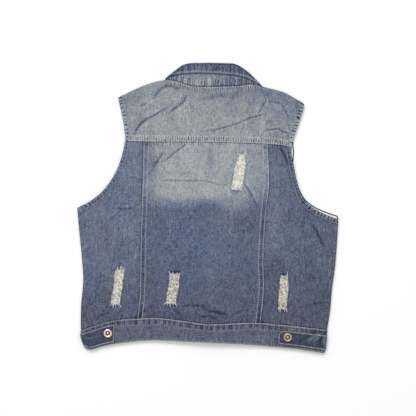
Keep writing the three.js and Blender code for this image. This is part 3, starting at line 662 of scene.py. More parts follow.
def new_object(name, sheet, materials, replaces):
    mesh = bpy.data.meshes.new(name)
    sheet.to_mesh(mesh)
    sheet.free()
    for polygon in mesh.polygons:
        polygon.use_smooth = True
    for material in materials:
        mesh.materials.append(material)
    piece = add_object(name, mesh)
    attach(piece, "root")
    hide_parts(*replaces)
    return piece


def give_attribute(piece, name, values):
    layer = piece.data.attributes.new(name, "FLOAT", "POINT")
    layer.data.foreach_set("value", np.asarray(values, np.float32))


def thicken(piece, thickness, offset=-1.0, inner_slot=1):
    shell = piece.modifiers.new("thickness", "SOLIDIFY")
    shell.thickness = thickness * MM
    shell.offset = offset
    shell.material_offset = inner_slot
    shell.use_even_offset = False

# %% [markdown]
# ## Nodes as sums
# A finish is easier to read as a formula than as a list of links. This small class wraps one
# socket and lets it be added, subtracted and multiplied, each of which adds a Math node.

# %% A class for shader values
class Value:
    def __init__(self, finish, socket):
        self.finish, self.socket = finish, socket

    def maths(self, operation, a, b=0.5):
        return self.finish.node("ShaderNodeMath", {"operation": operation}, {0: a, 1: b})

    def __add__(self, other):
        return self.maths("ADD", self, other)

    def __sub__(self, other):
        return self.maths("SUBTRACT", self, other)

    def __rsub__(self, other):
        return self.maths("SUBTRACT", other, self)

    def __mul__(self, other):
        return self.maths("MULTIPLY", self, other)

    def __abs__(self):
        return self.maths("ABSOLUTE", self)

    def at_least(self, lowest):
        return self.maths("MAXIMUM", self, lowest)

    def wave(self):
        return self.maths("SINE", self)

    __radd__ = __add__
    __rmul__ = __mul__

# %% A class for finishes
class Finish:
    """One material. node() adds any node and returns one of its outputs as a Value."""

    def __init__(self, name, **shader):
        self.material = bpy.data.materials.new(name)
        self.material.use_nodes = True
        self.tree = self.material.node_tree
        self.shader = self.tree.nodes["Principled BSDF"]
        for socket, value in shader.items():
            self.shader.inputs[socket.replace("_", " ")].default_value = value

    def node(self, kind, settings=None, inputs=None, output=0):
        made = self.tree.nodes.new(kind)
        for key, value in (settings or {}).items():
            if key == "stops":
                ramp = made.color_ramp.elements
                while len(ramp) < len(value):
                    ramp.new(0.5)
                for element, (place, colour) in zip(ramp, value):
                    element.position, element.color = place, (*colour, 1)
            else:
                setattr(made, key, value)
        for key, value in (inputs or {}).items():
            if isinstance(value, Value):
                self.tree.links.new(value.socket, made.inputs[key])
            else:
                made.inputs[key].default_value = value
        return Value(self, made.outputs[output])

    def attribute(self, name):
        return self.node("ShaderNodeAttribute", {"attribute_name": name}, output="Fac")

    def noise(self, place, scale, stretch=(1, 1, 1), detail=2.0, roughness=0.5):
        scales = tuple(scale * s for s in stretch)
        vector = self.node("ShaderNodeVectorMath", {"operation": "MULTIPLY"}, {0: place, 1: scales})
        sockets = {"Vector": vector, "Scale": 1.0, "Detail": detail, "Roughness": roughness}
        return self.node("ShaderNodeTexNoise", inputs=sockets)

    def thin_lines(self, place, scale, stretch=(1, 1, 1)):
        """1 on thin wandering lines, 0 between them."""
        from_line = abs(self.noise(place, scale, stretch, 1.0) - 0.5)
        return (1.0 - 11.0 * from_line).at_least(0.0)

    def step(self, value, start, end):
        """0 at start, 1 at end, smooth between."""
        settings = {"interpolation_type": "SMOOTHSTEP"}
        return self.node("ShaderNodeMapRange", settings, {0: value, 1: start, 2: end, 3: 0.0, 4: 1.0})

    def mix_colours(self, blend, factor, a, b):
        settings = {"data_type": "RGBA", "blend_type": blend}
        return self.node("ShaderNodeMix", settings, {0: factor, 6: a, 7: b}, output=2)

    def feed(self, socket, value):
        self.tree.links.new(value.socket, self.shader.inputs[socket])

# %% [markdown]
# ## Washed denim
# Denim is a twill of indigo warp over undyed weft. Washing takes dye from whatever stands up, so
# one number, the tone, runs from fresh indigo to nearly white, and a ramp turns it into colour.
# Fading, worn seams, uneven yarn and blotches add to or take from it, and so do painted shade and highlights:
# in creases together with kept dye, and along folds, seam edges, the rips and the collar.

# %% Denim finish
INDIGO_TO_PALE = [
    (0.0, (0.019, 0.025, 0.055)),
    (0.2, (0.060, 0.078, 0.133)),
    (0.36, (0.106, 0.132, 0.199)),
    (0.6, (0.186, 0.218, 0.262)),
    (0.8, (0.260, 0.292, 0.314)),
    (1.0, (0.365, 0.394, 0.404)),
]


def denim(name, wrong_side=False):
    finish = Finish(name, Roughness=0.92, Sheen_Weight=0.12, Sheen_Roughness=0.6, Specular_IOR_Level=0.15)
    place = finish.node("ShaderNodeTexCoord", output="Object")
    fade, shade = finish.attribute("fade"), finish.attribute("shade")
    pull, along = finish.attribute("pull"), finish.attribute("along")
    slub = finish.noise(place, 520, (1, 0.16, 1), 3, 0.7)
    weft = finish.noise(place, 520, (0.25, 1, 1), 2, 0.6)
    grain = finish.noise(place, 520, (1, 0.8, 1), 2, 0.75)
    blotch = finish.noise(place, 30, (1, 0.8, 1), 4, 0.55)
    ticks = (1.6 * (1.35 * along + 11.0 * finish.noise(place, 90, detail=1.0)).wave() - 0.5).at_least(0.0)
    ticks = pull * ticks * (3.0 * finish.noise(place, 130, detail=1.0) - 0.6)
    crackle = finish.thin_lines(place, 34, (1, 0.8, 1))
    cloud = finish.noise(place, 52, (1, 0.75, 1), 3, 0.5)
    scratches = finish.thin_lines(place, 105, (1, 0.7, 1)) * finish.step(finish.attribute("cast"), 0.1, -0.3)
    streaks = finish.noise(place, 85, (1, 0.22, 1), 3, 0.6)
    yarn = 1.0 * (slub - 0.5) + 0.5 * (weft - 0.5) + 1.25 * (grain - 0.5)
    mottle = 0.16 * (blotch - 0.5) + fade * (0.25 * (streaks - 0.5) + 0.4 * (cloud - 0.5))
    # shade holds the worn seams and also painted shade and highlights from folds, seam edges, rips, creases
    # and the collar.
    tone = fade + shade + (0.75 * fade + 0.53) * yarn + mottle
    tone = tone + 0.16 * pull - 0.85 * ticks - 0.06 * crackle * fade + 0.09 * scratches
    if wrong_side:
        inwards = finish.attribute("inwards")
        pale_hem = finish.step(inwards, 14, 13) * finish.step(inwards, 0, 0.01)
        rim = finish.step(inwards, 2.8, 2.0) * finish.step(inwards, 0, 0.01)
        tone = (0.35 * tone + 0.6) * (1 - rim) + 0.02 * rim
    colour = finish.node("ShaderNodeValToRGB", {"stops": INDIGO_TO_PALE}, {0: tone})
    cast = 0.3 * finish.attribute("cast") + 0.3 + 0.72 * (finish.noise(place, 22, (1, 0.7, 1), 3, 0.6) - 0.5)
    casts = [(0.0, (0.93, 1.0, 1.10)), (0.6, (1.13, 1.02, 0.93)), (1.0, (1.30, 1.07, 0.87))]
    tint = finish.node("ShaderNodeValToRGB", {"stops": casts}, {0: cast})
    colour = finish.mix_colours("MULTIPLY", 1.0, colour, tint)
    if wrong_side:
        colour = finish.mix_colours("MIX", pale_hem - rim, colour, (0.93, 0.93, 0.93, 1))
    finish.feed("Base Color", colour)
    weave = {"Vector": place, "Scale": 420.0, "Distortion": 1.5}
    twill = finish.node("ShaderNodeTexWave", {"bands_direction": "DIAGONAL"}, weave)
    relief = 0.25 * twill + 0.6 * slub + 0.5 * grain - 0.9 * ticks
    bump = finish.node("ShaderNodeBump", inputs={"Strength": 0.55, "Distance": 0.0006, "Height": relief})
    finish.feed("Normal", bump)
    return finish.material


DENIM = denim("washed_denim")
DENIM_INSIDE = denim("denim_wrong_side", wrong_side=True)
print("denim:", DENIM.name, "and", DENIM_INSIDE.name)

# %% [markdown]
# ## The wash
# The pale zones were sprayed and scrubbed: the whole yoke, and the centre panel down to an
# uneven edge a third of the way. Each piece stores this as a number at every vertex, because
# it belongs to a place on the vest and not to a pattern.

# %% Wash marks of the back
faded_to = through([  # x, lower edge of the pale zone
    (-130, 24), (-100, 14), (-60, 9), (-20, 11), (20, 12), (42, 12), (72, 12), (92, 20), (110, 34), (125, 38),
])


def fade_of_yoke(x, y):
    left_tip = smooth((-x - 118) / 40) * 0.07 + smooth((-x - 140) / 40) * smooth((y - 165) / 40) * 0.10
    right = smooth((x + 10) / 70) * smooth((y - 160) / 40) * 0.09 + smooth((x - 60) / 90) * 0.08
    right_tip = 0.12 * smooth((x - 160) / 22) * smooth((y - 170) / 30)
    collar = band(yoke_top(x) - y, -5, 14, 12) * 0.10 + 0.03 * bell(x, 80)
    return 0.76 - left_tip - right - right_tip - collar


def fade_of_centre(x, y):
    uneven = 7 * ripple(x, y, 34, 21) + 4 * ripple(x, y, 13, 22)
    spread = 44 + 22 * smooth((x - 20) / 40)
    height = smooth((y - faded_to(x) + uneven) / spread + 0.5)
    inside = smooth((x + 122 + 0.4 * uneven) / 26) * (1 - 0.6 * smooth((x - 92 - 0.5 * uneven) / 24))
    blot = 0.18 * bell(x - 3, 7) * band(y, 84, 122, 8) + 0.13 * smooth((-62 - x) / 50) * smooth((y - 50) / 40)
    lower = 0.278 - 0.01 * smooth((-y - 60) / 90) - 0.05 * smooth((-y - 200) / 20)
    return mix(lower, mix(0.58, 0.83 - 0.05 * smooth((x - 30) / 40), inside), height) - blot


def fade_of_left(x, y):
    return 0.36 + 0.06 * smooth((y - 20) / 90) - 0.11 * smooth((-y - 110) / 100)


def fade_of_right(x, y):
    beside_seam = 0.09 * smooth((175 - x) / 50) * smooth((y + 110) / 60)
    return 0.30 + beside_seam - 0.07 * smooth((-y - 60) / 120)


def cast_of(x, y):
    """Bluer than the dye on its own below 0, greyer above."""
    blue = 0.6 * bell(x + 20, 90) * bell(y + 75, 75) + 0.55 * bell(x + 165, 35) * bell(y - 30, 80)
    low = 0.6 * smooth((-y - 120) / 90) + 0.35 * smooth((-y - 215) / 15) + 0.25 * smooth((x - 215) / 30)
    low = low + 0.3 * smooth((x - 130) / 30) * smooth((-y - 110) / 50) + 0.27 * smooth((y - 122) / 12)
    soiled = 2.0 * bell(y - hem(x) - 0.6, 1.3) + 2.3 * smooth((x - 100) / 25) * band(y - hem(x), 0, 6, 1.0)
    return low - blue + 0.1 + soiled


print("the centre panel is pale down to", round(float(faded_to(0))), "mm above the middle")

# %% Lay a painted piece on a layer
def paint(piece, x, y, fade, marks, creases=crease_marks, armhole=None):
    """Stores the wash and the sewing's marks at each vertex of a piece."""
    if armhole is not None:
        give_attribute(piece, "inwards", np.minimum(armhole(x, y)[0], np.maximum(0, 262 - x)))
    pull, along, shade = marks(x, y)
    _, dye_and_painted_light = creases(x, y)
    give_attribute(piece, "fade", fade(x, y))
    give_attribute(piece, "pull", pull)
    give_attribute(piece, "along", along)
    # The creases darken the colour partly by kept dye and partly by painted shade, and some ridges get a pale
    # painted highlight.
    give_attribute(piece, "shade", shade - 0.5 * dye_and_painted_light)
    give_attribute(piece, "cast", cast_of(x, y))


def lay_cloth(
    name, edges, columns, rows, height, lift, fade, marks, materials, thickness=CLOTH,
    rips=(), face_up=True, ease=1, **wash,
):
    """A piece of cloth on a layer, with its wash, its rips and its thickness."""
    sheet, x, y = grid_places(columns, rows, *edges, ease)
    for rip in rips:
        x, y = to_rip_edge(x, y, RIPS[rip])
    for vert, point in zip(sheet.verts, to_frame(on_layer(height, x, y, lift(x, y)))):
        vert.co = point
    kept = np.ones(len(x), bool)
    for rip in rips:
        kept &= ~in_rip(x, y, RIPS[rip], 0.2)
    sheet.verts.ensure_lookup_table()
    bmesh.ops.delete(sheet, geom=[sheet.verts[i] for i in np.flatnonzero(~kept)], context="VERTS")
    if not face_up:
        bmesh.ops.reverse_faces(sheet, faces=sheet.faces)
    slot = "denim_faded" if name == "back_yoke" else "denim"
    piece = new_object(name + "_cloth", sheet, materials, [name])
    paint(piece, x[kept], y[kept], fade, marks, **wash)
    thicken(piece, thickness)

# %% The four panels of the back
BAND_RISE = 0.8  # felled seams and hems stand this proud
HEMMED = [0, 1.0, 2.2, 4, 6, 8, 9.2]
FELLED = [0.15, 1.5, 3.3, 5.5, 7.6, 9.4, 10.4, 11.2]
BOTH_SIDES = [DENIM, DENIM_INSIDE]
TWO_PLY = [DENIM, DENIM]  # the wrong sides face each other inside


def raised(distance, width):
    return BAND_RISE * (1 - smooth((distance - width + 1.2) / 1.2))


def flat_sewn(x, y):
    return np.zeros_like(x)


def yoke_lift(x, y):
    hems = [raised(x - left_back(y), HEM_WIDTH), raised(right_back(y) - x, HEM_WIDTH)]
    return np.maximum.reduce([raised(y - yoke_seam(x), FELL_WIDTH), *hems])


lay_cloth(
    "back_yoke",
    (left_back, right_back, yoke_seam, yoke_top),
    stops(HEMMED, 160, HEMMED),
    stops([0.15, 1.6, 3.4, 5.4, 7.4, 9.4, 11.2, 12.2, 13.2], 50, TURN),
    back_top, yoke_lift, fade_of_yoke, back_marks, BOTH_SIDES,
)
lay_cloth(
    "back_centre",
    (left_princess, right_princess, waist_seam, yoke_seam),
    stops(FELLED, 105, FELLED),
    stops(SEWN, 170, SEWN),
    back_top,
    lambda x, y: raised(np.minimum(x - left_princess(y), right_princess(y) - x), PRINCESS_WIDTH),
    fade_of_centre, back_marks, BOTH_SIDES, rips=["rip_weft_1", "rip_weft_3"],
)
ARM_COLUMNS = [*TURN, 6, 8, 9.2, 10.2]
lay_cloth(
    "back_side_left",
    (left_back, left_princess, waist_seam, yoke_seam),
    stops(ARM_COLUMNS, 48, SEWN),
    stops(SEWN, 170, SEWN),
    back_top,
    lambda x, y: smooth((y + 5) / 10) * raised(x - left_back(y), HEM_WIDTH),
    fade_of_left, back_marks, BOTH_SIDES, rips=["rip_weft_2"],
)
lay_cloth(
    "back_side_right",
    (right_princess, right_back, waist_seam, yoke_seam),
    stops(SEWN, 56, ARM_COLUMNS),
    stops(SEWN, 170, SEWN),
    back_top,
    lambda x, y: smooth((y + 16) / 10) * raised(right_back(y) - x, HEM_WIDTH),
    fade_of_right, back_marks, BOTH_SIDES, rips=["rip_weft_4"],
)

# %% [markdown]
# ## Waistband and tabs
# The waistband is two plies thick and stands a ply higher than the panels. A short tab buttons
# over it at each side: the left one ends square and the right one is rounded. A turned edge is
# round, so the outermost millimetre of both dips a little.

# %% Back waistband
WAISTBAND_LIFT = 1.0


def fade_of_band(x, y):
    return 0.29 - 0.03 * smooth(x / 200)


def band_lift(x, y):
    return WAISTBAND_LIFT - 0.5 * (1 - turned(4 * np.minimum(y - hem(x), waist_seam(x) - y)))


lay_cloth(
    "waistband_back",
    (left_side, right_side, hem, waist_seam),
    stops(TURN, 200, TURN),
    stops([0.05, 0.5, 1.2, 2.4], 14, [0.15, 0.6, 1.4]),
    back_top, band_lift, fade_of_band, back_marks, TWO_PLY, DOUBLE,
)

# %% The two tabs
TAB_LIFT = 3.5
TAB_INSET = 0.4  # the tabs end this far inside the side folds


def fade_of_tab(x, y):
    return 0.10 - 0.01 * smooth(x / 100)


def at_x(place):
    """An edge that runs straight up."""
    return lambda y: np.full_like(np.asarray(y, float), place)


def tab_marks(edge):
    """Marks of a tab, from the distance to its edge."""
    def marks(x, y):
        distance = edge(x, y)
        shade = lines(distance, (1.6, 0.34, 1.3), (0, -0.1, 0.8), (5, -0.12, 1.5))
        return 0.6 * band(distance, 2, 7), x + y, shade
    return marks


def lay_tab(name, reach, top, bottom, corner, sign):
    """A tab from its side fold to reach, below the waist seam by top and above the hem by bottom."""
    def upper(x):
        away = np.maximum(0, corner - np.abs(x - reach))
        return waist_seam(x) - top - corner + np.sqrt(np.maximum(0, corner**2 - away**2))

    def lower(x):
        return hem(x) + bottom

    def side(y):
        return left_side(y) + TAB_INSET if sign < 0 else right_side(y) - TAB_INSET

    def from_edge(x, y):
        return np.minimum.reduce([np.abs(x - reach), upper(x) - y, y - lower(x)])

    def lift(x, y):
        return TAB_LIFT - 0.6 * (1 - turned(4 * from_edge(x, y)))

    ends = (side, at_x(reach)) if sign < 0 else (at_x(reach), side)
    columns = stops([0, 0.4, 1, 2, 3.5], 24, [0, 0.4, 1, 2, 3.5])
    rows = stops([0, 0.4, 1, 2, 3], 12, [0, 0.4, 1, 2, 3])
    finish = (fade_of_tab, tab_marks(from_edge), TWO_PLY, DOUBLE)
    lay_cloth(name, (*ends, lower, upper), columns, rows, back_top, lift, *finish)


TABS = {  # reach, top, bottom, corner radius, side
    "tab_left": (-180, 7.5, 3.5, 2, -1),
    "tab_right": (147, 11, 6, 14, 1),
}
for tab, shape in TABS.items():
    lay_tab(tab, *shape)

# %% [markdown]
# ## Collar
# At the back the stand climbs from the neck seam, rolls over, and the fall comes back down over
# it, so one strip of cloth bent along a line gives both. In front the collar lies flat under
# the fronts, with its stand folded back on it. Each is a grid bent to the maker's section.

# %% Bend a grid to a section
def bent_cloth(name, section, columns, rows, fade, flip=False):
    """Two plies of cloth whose grid follows section(u, v), both from 0 to 1."""
    sheet = bmesh.new()
    bmesh.ops.create_grid(sheet, x_segments=columns, y_segments=rows, size=0.5)
    unit = np.array([v.co[:2] for v in sheet.verts]) + 0.5
    points, marks = section(unit[:, 0], unit[:, 1])
    for vert, point in zip(sheet.verts, to_frame(points)):
        vert.co = point
    if flip:
        bmesh.ops.reverse_faces(sheet, faces=sheet.faces)
    piece = new_object(name + "_cloth", sheet, [DENIM], [name])
    for key, value in zip(("pull", "along", "shade"), marks):
        give_attribute(piece, key, value)
    give_attribute(piece, "fade", fade(unit[:, 0], unit[:, 1]))
    give_attribute(piece, "cast", np.full(len(unit), 0.3))
    thicken(piece, DOUBLE, offset=0.0, inner_slot=0)

# %% The back collar
STAND_STEPS, ROLL_STEPS, FALL_STEPS = 12, 9, 12
ROLL_MIDDLE = STAND_STEPS + ROLL_STEPS // 2
FALL_START = STAND_STEPS + ROLL_STEPS - 1
ROLL_RADIUS = 3.2


def collar_sections(x):
    """The y and z of the back collar's middle at each x: up the stand, round the roll, down the fall."""
    seam_y, seam_z = yoke_top(x) + 0.6, plain_top(x, yoke_top(x)) - 0.3
    radius = np.minimum(ROLL_RADIUS, 0.2 * (collar_roll(x) - seam_y))
    roll_y, roll_z = collar_roll(x) - radius - DOUBLE / 2, radius + DOUBLE / 2
    edge_y = np.minimum(collar_edge(x), roll_y - 0.5)
    under = mix(roll_z - radius, seam_z, (roll_y - edge_y) / (roll_y - seam_y))
    edge_z = np.maximum(roll_z + radius, under + DOUBLE + 0.7)
    points = []
    for t in np.linspace(0, 1, STAND_STEPS, endpoint=False):
        points.append((mix(seam_y, roll_y, t), mix(seam_z, roll_z - radius, t)))
    for angle in np.linspace(-0.5, 0.5, ROLL_STEPS) * math.pi:
        points.append((roll_y + radius * math.cos(angle), roll_z + radius * math.sin(angle)))
    for t in np.linspace(0, 1, FALL_STEPS + 1)[1:]:
        points.append((mix(roll_y, edge_y, t), mix(roll_z + radius, edge_z, t)))
    return np.array(points).swapaxes(0, 1)


def back_collar(u, v):
    x = mix(-90.0, 103.0, u)
    y, z = collar_sections(x)
    steps = np.hypot(np.diff(y, axis=0), np.diff(z, axis=0))
    run = np.concatenate([np.zeros((1, len(x))), np.cumsum(steps, axis=0)])
    from_seam = v * run[-1]
    from_edge = run[-1] - from_seam
    i = np.clip((run <= from_seam).sum(0) - 1, 0, len(run) - 2)
    k = np.arange(len(x))
    t = (from_seam - run[i, k]) / (run[i + 1, k] - run[i, k])
    py, pz = mix(y[i, k], y[i + 1, k], t), mix(z[i, k], z[i + 1, k], t)
    on_fall = i >= FALL_START
    ends = smooth(u / 0.06) * smooth((1 - u) / 0.06)
    puckers = 0.45 * band(from_edge, 5, 12, 4) + 0.8 * band(from_seam, 2, 10, 4)
    bars = wobble(x, 3.3, 31) + 0.5 * wobble(x, 6.7, 32)
    height = (0.3 * puckers * bars + 0.4 * wobble(x, 17, 33) * on_fall) * ends
    pz = pz + np.where(on_fall, np.maximum(height, -0.5), 0.4 * height)
    # The dark line at the fall's edge is painted shadow; the pale band beside it is the rubbed stitch row,
    # and the dark line at the neck seam is the joint.
    shade = lines(from_edge, (2.8, 0.32, 2.4), (0, -0.22, 0.7)) - 0.2 * bell(from_seam, 1.2)
    # Painted shade along the roll, where the collar turns over, most of it towards both ends.
    roll_painted_shade = 0.12 + 0.3 * smooth((np.abs(u - 0.5) - 0.28) / 0.15)
    shade = shade - bell(from_seam - run[ROLL_MIDDLE], 3.5) * roll_painted_shade
    shade = shade + 0.42 * puckers * (smooth((bars + 0.1) / 0.6) - 0.4)
    # Painted shadow of the fall's edge on the stand, stronger towards the right.
    fall_painted_shadow = band(from_seam - run[FALL_START], -9, -2.5, 2)
    shade = shade - 0.25 * fall_painted_shadow * (0.3 + 0.7 * smooth((u - 0.4) / 0.2))
    return np.stack([x, py, pz], 1), (0.7 * puckers, x, shade)


def fade_of_collar(u, v):
    stand = 1 - smooth((v - 0.36) / 0.08)
    return mix(0.235, 0.53 - 0.14 * smooth((u - 0.45) / 0.3), stand)


bent_cloth("collar_back", back_collar, 140, 56, fade_of_collar)

# %% Front ends of the collar
LEAF_REACH = 46  # from the neck seam to the edge of the fall
LEAF_STAND = 24  # from the neck seam to the fold
LEAF_FOLD = 1.3  # radius of the fold
LEAF_BACK = 21.8  # how much of the stand comes back over the fall


def front_leaf(start, end, first, last):
    def section(u, v):
        """Out to the fold, round it, and back: the fall below, the stand on it."""
        along = mix(start, end, u)
        angle = np.radians(mix(first, last, smooth(u)))
        flat = LEAF_REACH + LEAF_STAND
        run = v * (flat + LEAF_FOLD * math.pi + LEAF_BACK)
        bend = np.clip((run - flat) / LEAF_FOLD, 0, math.pi)
        back = np.maximum(0, run - flat - LEAF_FOLD * math.pi)
        out = LEAF_REACH - np.minimum(run, flat) - LEAF_FOLD * np.sin(bend) + back
        x, y = along + out * np.cos(angle), front_neck(along) + out * np.sin(angle)
        z = DOUBLE / 2 + LEAF_FOLD * (1 - np.cos(bend))
        shade = 0.2 * bell(run - 6, 1.4) + 0.1 * bell(run, 1)
        return np.stack([x, y, z], 1), (0.5 * band(run, 1, 5), along, shade)
    return section


def fade_of_leaf(u, v):
    return np.full_like(u, 0.34)


bent_cloth("collar_front_left", front_leaf(-91, -17, 198, 268), 44, 60, fade_of_leaf, flip=True)
bent_cloth("collar_front_right", front_leaf(17, 102, -88, -18), 44, 60, fade_of_leaf, flip=True)

# %% [markdown]
# ## The fronts
# The fronts lie face down on the table and are seen from below, or as a narrow rim at the right
# armhole, where the pale wrong side of their hem shows. They are sewn as the back is, with a button
# strip down the middle and a waistband of their own.

# %% Fronts, button strips and front waistbands
def fade_of_front(x, y):
    worn = bell(np.hypot((np.abs(x) - 80) / 1.1, (y - 30) / 1.8), 60)
    return 0.30 + 0.30 * worn + 0.05 * ripple(x, y, 40, 23)


def front_top(x):
    shoulder = yoke_top(np.clip(x, -184, 188))
    return np.where((x < LEFT_NECK[0]) | (x > RIGHT_NECK[0]), shoulder, front_neck(x))


def front_hem(x):
    return hem(x) + 1.5


def under_strip(x, y):
    return front_under(x, y) + UNDER_STRIP_RISE


TUCKED = [0.3, 0.9, 2.0, 3.4, 5.0]
FRONT_WASH = {"face_up": False, "creases": front_creases}
left_edge, right_edge = at_x(-STRIP_HALF), at_x(STRIP_HALF)
FRONTS = {  # edges, columns, height, armhole
    "front_left": ((left_front, left_edge), stops(TUCKED, 64, SEWN), front_under, ARMHOLES_FRONT[0]),
    "front_right": ((right_edge, right_front), stops(SEWN, 64, TUCKED), front_under_right, ARMHOLES_FRONT[1]),
}
for front, (edges, columns, height, armhole) in FRONTS.items():
    lay_cloth(
        front, (*edges, waist_seam, front_top), columns, stops(SEWN, 170, TUCKED), height, flat_sewn,
        fade_of_front, front_marks, BOTH_SIDES, ease=6, armhole=armhole, **FRONT_WASH,
    )
for strip, height in {"button_strip_outer": front_under, "button_strip_under": under_strip}.items():
    lay_cloth(
        strip, (left_edge, right_edge, hem, front_neck), stops(SEWN, 12, SEWN), stops([1.5], 130, SEWN),
        height, flat_sewn, fade_of_front, front_marks, TWO_PLY, DOUBLE, **FRONT_WASH,
    )
FRONT_BANDS = {  # edges, columns, height
    "waistband_front_left": ((left_side, left_edge), stops(TURN, 60, SEWN), front_under),
    "waistband_front_right": ((right_edge, right_side), stops(SEWN, 60, TURN), front_under_right),
}
for name, (edges, columns, height) in FRONT_BANDS.items():
    lay_cloth(
        name, (*edges, front_hem, waist_seam), columns, stops([0, 0.5, 1.2, 2.4], 12, SEWN),
        height, flat_sewn, fade_of_band, front_marks, TWO_PLY, DOUBLE, **FRONT_WASH,
    )

# %% [markdown]
# ## Tack buttons
# A tack button is a rolled brass rim round a dished middle, with the tack's head in the dish. It
# is turned, so half its outline spun round an axis makes it, and a bevel is not needed where
# the outline itself is rounded.

# %% Buttons
def brass(name, colour, roughness):
    return Finish(name, Metallic=1.0, Base_Color=(*colour, 1), Roughness=roughness).material


ROSE_BRASS = brass("rose_brass", (0.93, 0.72, 0.56), 0.26)
# The right tab's button is given darker brass than the others.
DARKER_BRASS = brass("darker_brass", (0.52, 0.40, 0.31), 0.32)
DARK_BRASS = brass("darkened_brass", (0.10, 0.075, 0.05), 0.5)
TACK_BRASS = brass("tack_head", (0.72, 0.60, 0.47), 0.3)
BUTTON_OUTLINE = [  # radius and height: the base and rim, the dish, the tack's head
    (0, 0), (7.3, 0), (8.0, 0.3), (8.4, 0.9), (8.5, 1.6), (8.3, 2.2), (7.8, 2.7), (7.1, 2.95), (6.4, 3.0),
    (5.7, 2.85), (5.1, 2.5), (4.7, 2.0), (4.4, 1.5), (3.4, 1.25), (2.3, 1.25),
    (2.15, 1.7), (1.6, 2.1), (0, 2.3),
]
RIM_HEIGHT = 3.0
FACE_HEIGHT = 1.2  # dish and head lie above this
DISH_RADIUS, HEAD_RADIUS = 4.6, 2.3


def turn_button(name, node, rim, face_down=False):
    low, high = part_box(node)
    sheet = bmesh.new()
    outline = [sheet.verts.new((r * MM, 0, h * MM)) for r, h in BUTTON_OUTLINE]
    for a, b in zip(outline, outline[1:]):
        sheet.edges.new((a, b))
    bmesh.ops.spin(
        sheet, geom=sheet.verts[:] + sheet.edges[:], cent=(0, 0, 0), axis=(0, 0, 1),
        angle=2 * math.pi, steps=48, use_merge=True,
    )
    bmesh.ops.remove_doubles(sheet, verts=sheet.verts, dist=1e-6)
    bmesh.ops.recalc_face_normals(sheet, faces=sheet.faces)
    for face in sheet.faces:
        middle = face.calc_center_median()
        radius = math.hypot(middle.x, middle.y) / MM
        if middle.z > FACE_HEIGHT * MM:
            face.material_index = int(radius < DISH_RADIUS) + int(radius < HEAD_RADIUS)
    size = (high.z - low.z) / (RIM_HEIGHT * MM)
    bmesh.ops.scale(sheet, verts=sheet.verts, vec=(1, 1, size))
    if face_down:
        half_turn = Matrix.Rotation(math.pi, 3, "X")
        bmesh.ops.rotate(sheet, verts=sheet.verts, cent=(0, 0, 0), matrix=half_turn)
    seat = ((low.x + high.x) / 2, (low.y + high.y) / 2, high.z if face_down else low.z)
    bmesh.ops.translate(sheet, verts=sheet.verts, vec=seat)
    new_object(name, sheet, [rim, DARK_BRASS, TACK_BRASS], [node])


for side, rim in (("left", ROSE_BRASS), ("right", DARKER_BRASS)):
    turn_button(f"tack_button_{side}", f"button_tab_{side}", rim)
for number in range(1, 7):
    turn_button(f"front_tack_button_{number}", f"button_front_{number}", ROSE_BRASS, face_down=True)

# %% [markdown]
# ## Thread
# Stitches and the bare weft in the rips are the same small shape many times. One stitch and one
# strand are modelled once, copied into a single mesh, and only the points are moved, which is
# quick to build and light to keep.

# %% Copies of one small shape
def small_shape(make):
    shape = bmesh.new()
    make(shape)
    mesh = bpy.data.meshes.new("shape")
    shape.to_mesh(mesh)
    shape.free()
    return mesh, np.array([v.co[:] for v in mesh.vertices])


def copies(name, mesh, points, material, replaces=()):
    """One mesh with a copy of the shape for each row of points (copies, vertices, 3)."""
    sheet = bmesh.new()
    for _ in range(len(points)):
        sheet.from_mesh(mesh)
    piece = new_object(name, sheet, [material], replaces)
    piece.data.vertices.foreach_set("co", to_frame(points).ravel())
    piece.data.update()
    return piece


STITCH, STITCH_POINTS = small_shape(lambda s: bmesh.ops.create_icosphere(s, subdivisions=2, radius=1.0))
HALF_STITCH = 0.42  # as a share of the pitch


def stitch_ends(x, y, height, lift, pitch=3.3):
    """Start and end of each stitch along a line on a layer."""
    path = on_layer(height, np.asarray(x, float), np.asarray(y, float), lift)
    run = np.concatenate([[0], np.cumsum(np.linalg.norm(np.diff(path, axis=0), axis=1))])

    def point_at(place):
        return np.stack([np.interp(place, run, axis) for axis in path.T], 1)

    at = np.arange(0.5 * pitch, run[-1], pitch)
    return np.stack([point_at(at - HALF_STITCH * pitch), point_at(at + HALF_STITCH * pitch)], 1)


def sew(name, rows, material, width=0.6, height=0.42):
    ends = np.concatenate(rows)
    middle, half = ends.mean(1), (ends[:, 1] - ends[:, 0]) / 2
    side = np.cross(half, (0, 0, 1.0))
    side *= width / np.linalg.norm(side, axis=1, keepdims=True)
    up = np.cross(side, half)
    up *= height / np.linalg.norm(up, axis=1, keepdims=True)
    along = STITCH_POINTS[None, :, :1] * half[:, None]
    beside = STITCH_POINTS[None, :, 1:2] * side[:, None]
    above = STITCH_POINTS[None, :, 2:] * up[:, None]
    copies(name, STITCH, middle[:, None] + along + beside + above, material)
    print(name, len(ends), "stitches")


def yarn_finish(name, colours, scale, stretch=(1, 1, 1), detail=1.0, uneven=0.5, worn=False, **shader):
    """Yarn whose colour wanders along a ramp of colours."""
    finish = Finish(name, **shader)
    place = finish.node("ShaderNodeTexCoord", output="Object")
    dyed = finish.noise(place, scale, stretch, detail, uneven)
    if worn:
        dyed = dyed + finish.attribute("worn")
    finish.feed("Base Color", finish.node("ShaderNodeValToRGB", {"stops": colours}, {0: dyed}))
    return finish.material


THREAD = yarn_finish(
    "sewing_thread", [(0.35, (0.27, 0.29, 0.36)), (0.65, (0.50, 0.51, 0.55))], 120, detail=2.0,
    Roughness=0.85, Specular_IOR_Level=0.2,
)
dull_thread = {"Roughness": 0.9, "Specular_IOR_Level": 0.2, "Base_Color": (0.19, 0.20, 0.245, 1)}
DULL_THREAD = Finish("dyed_thread", **dull_thread).material

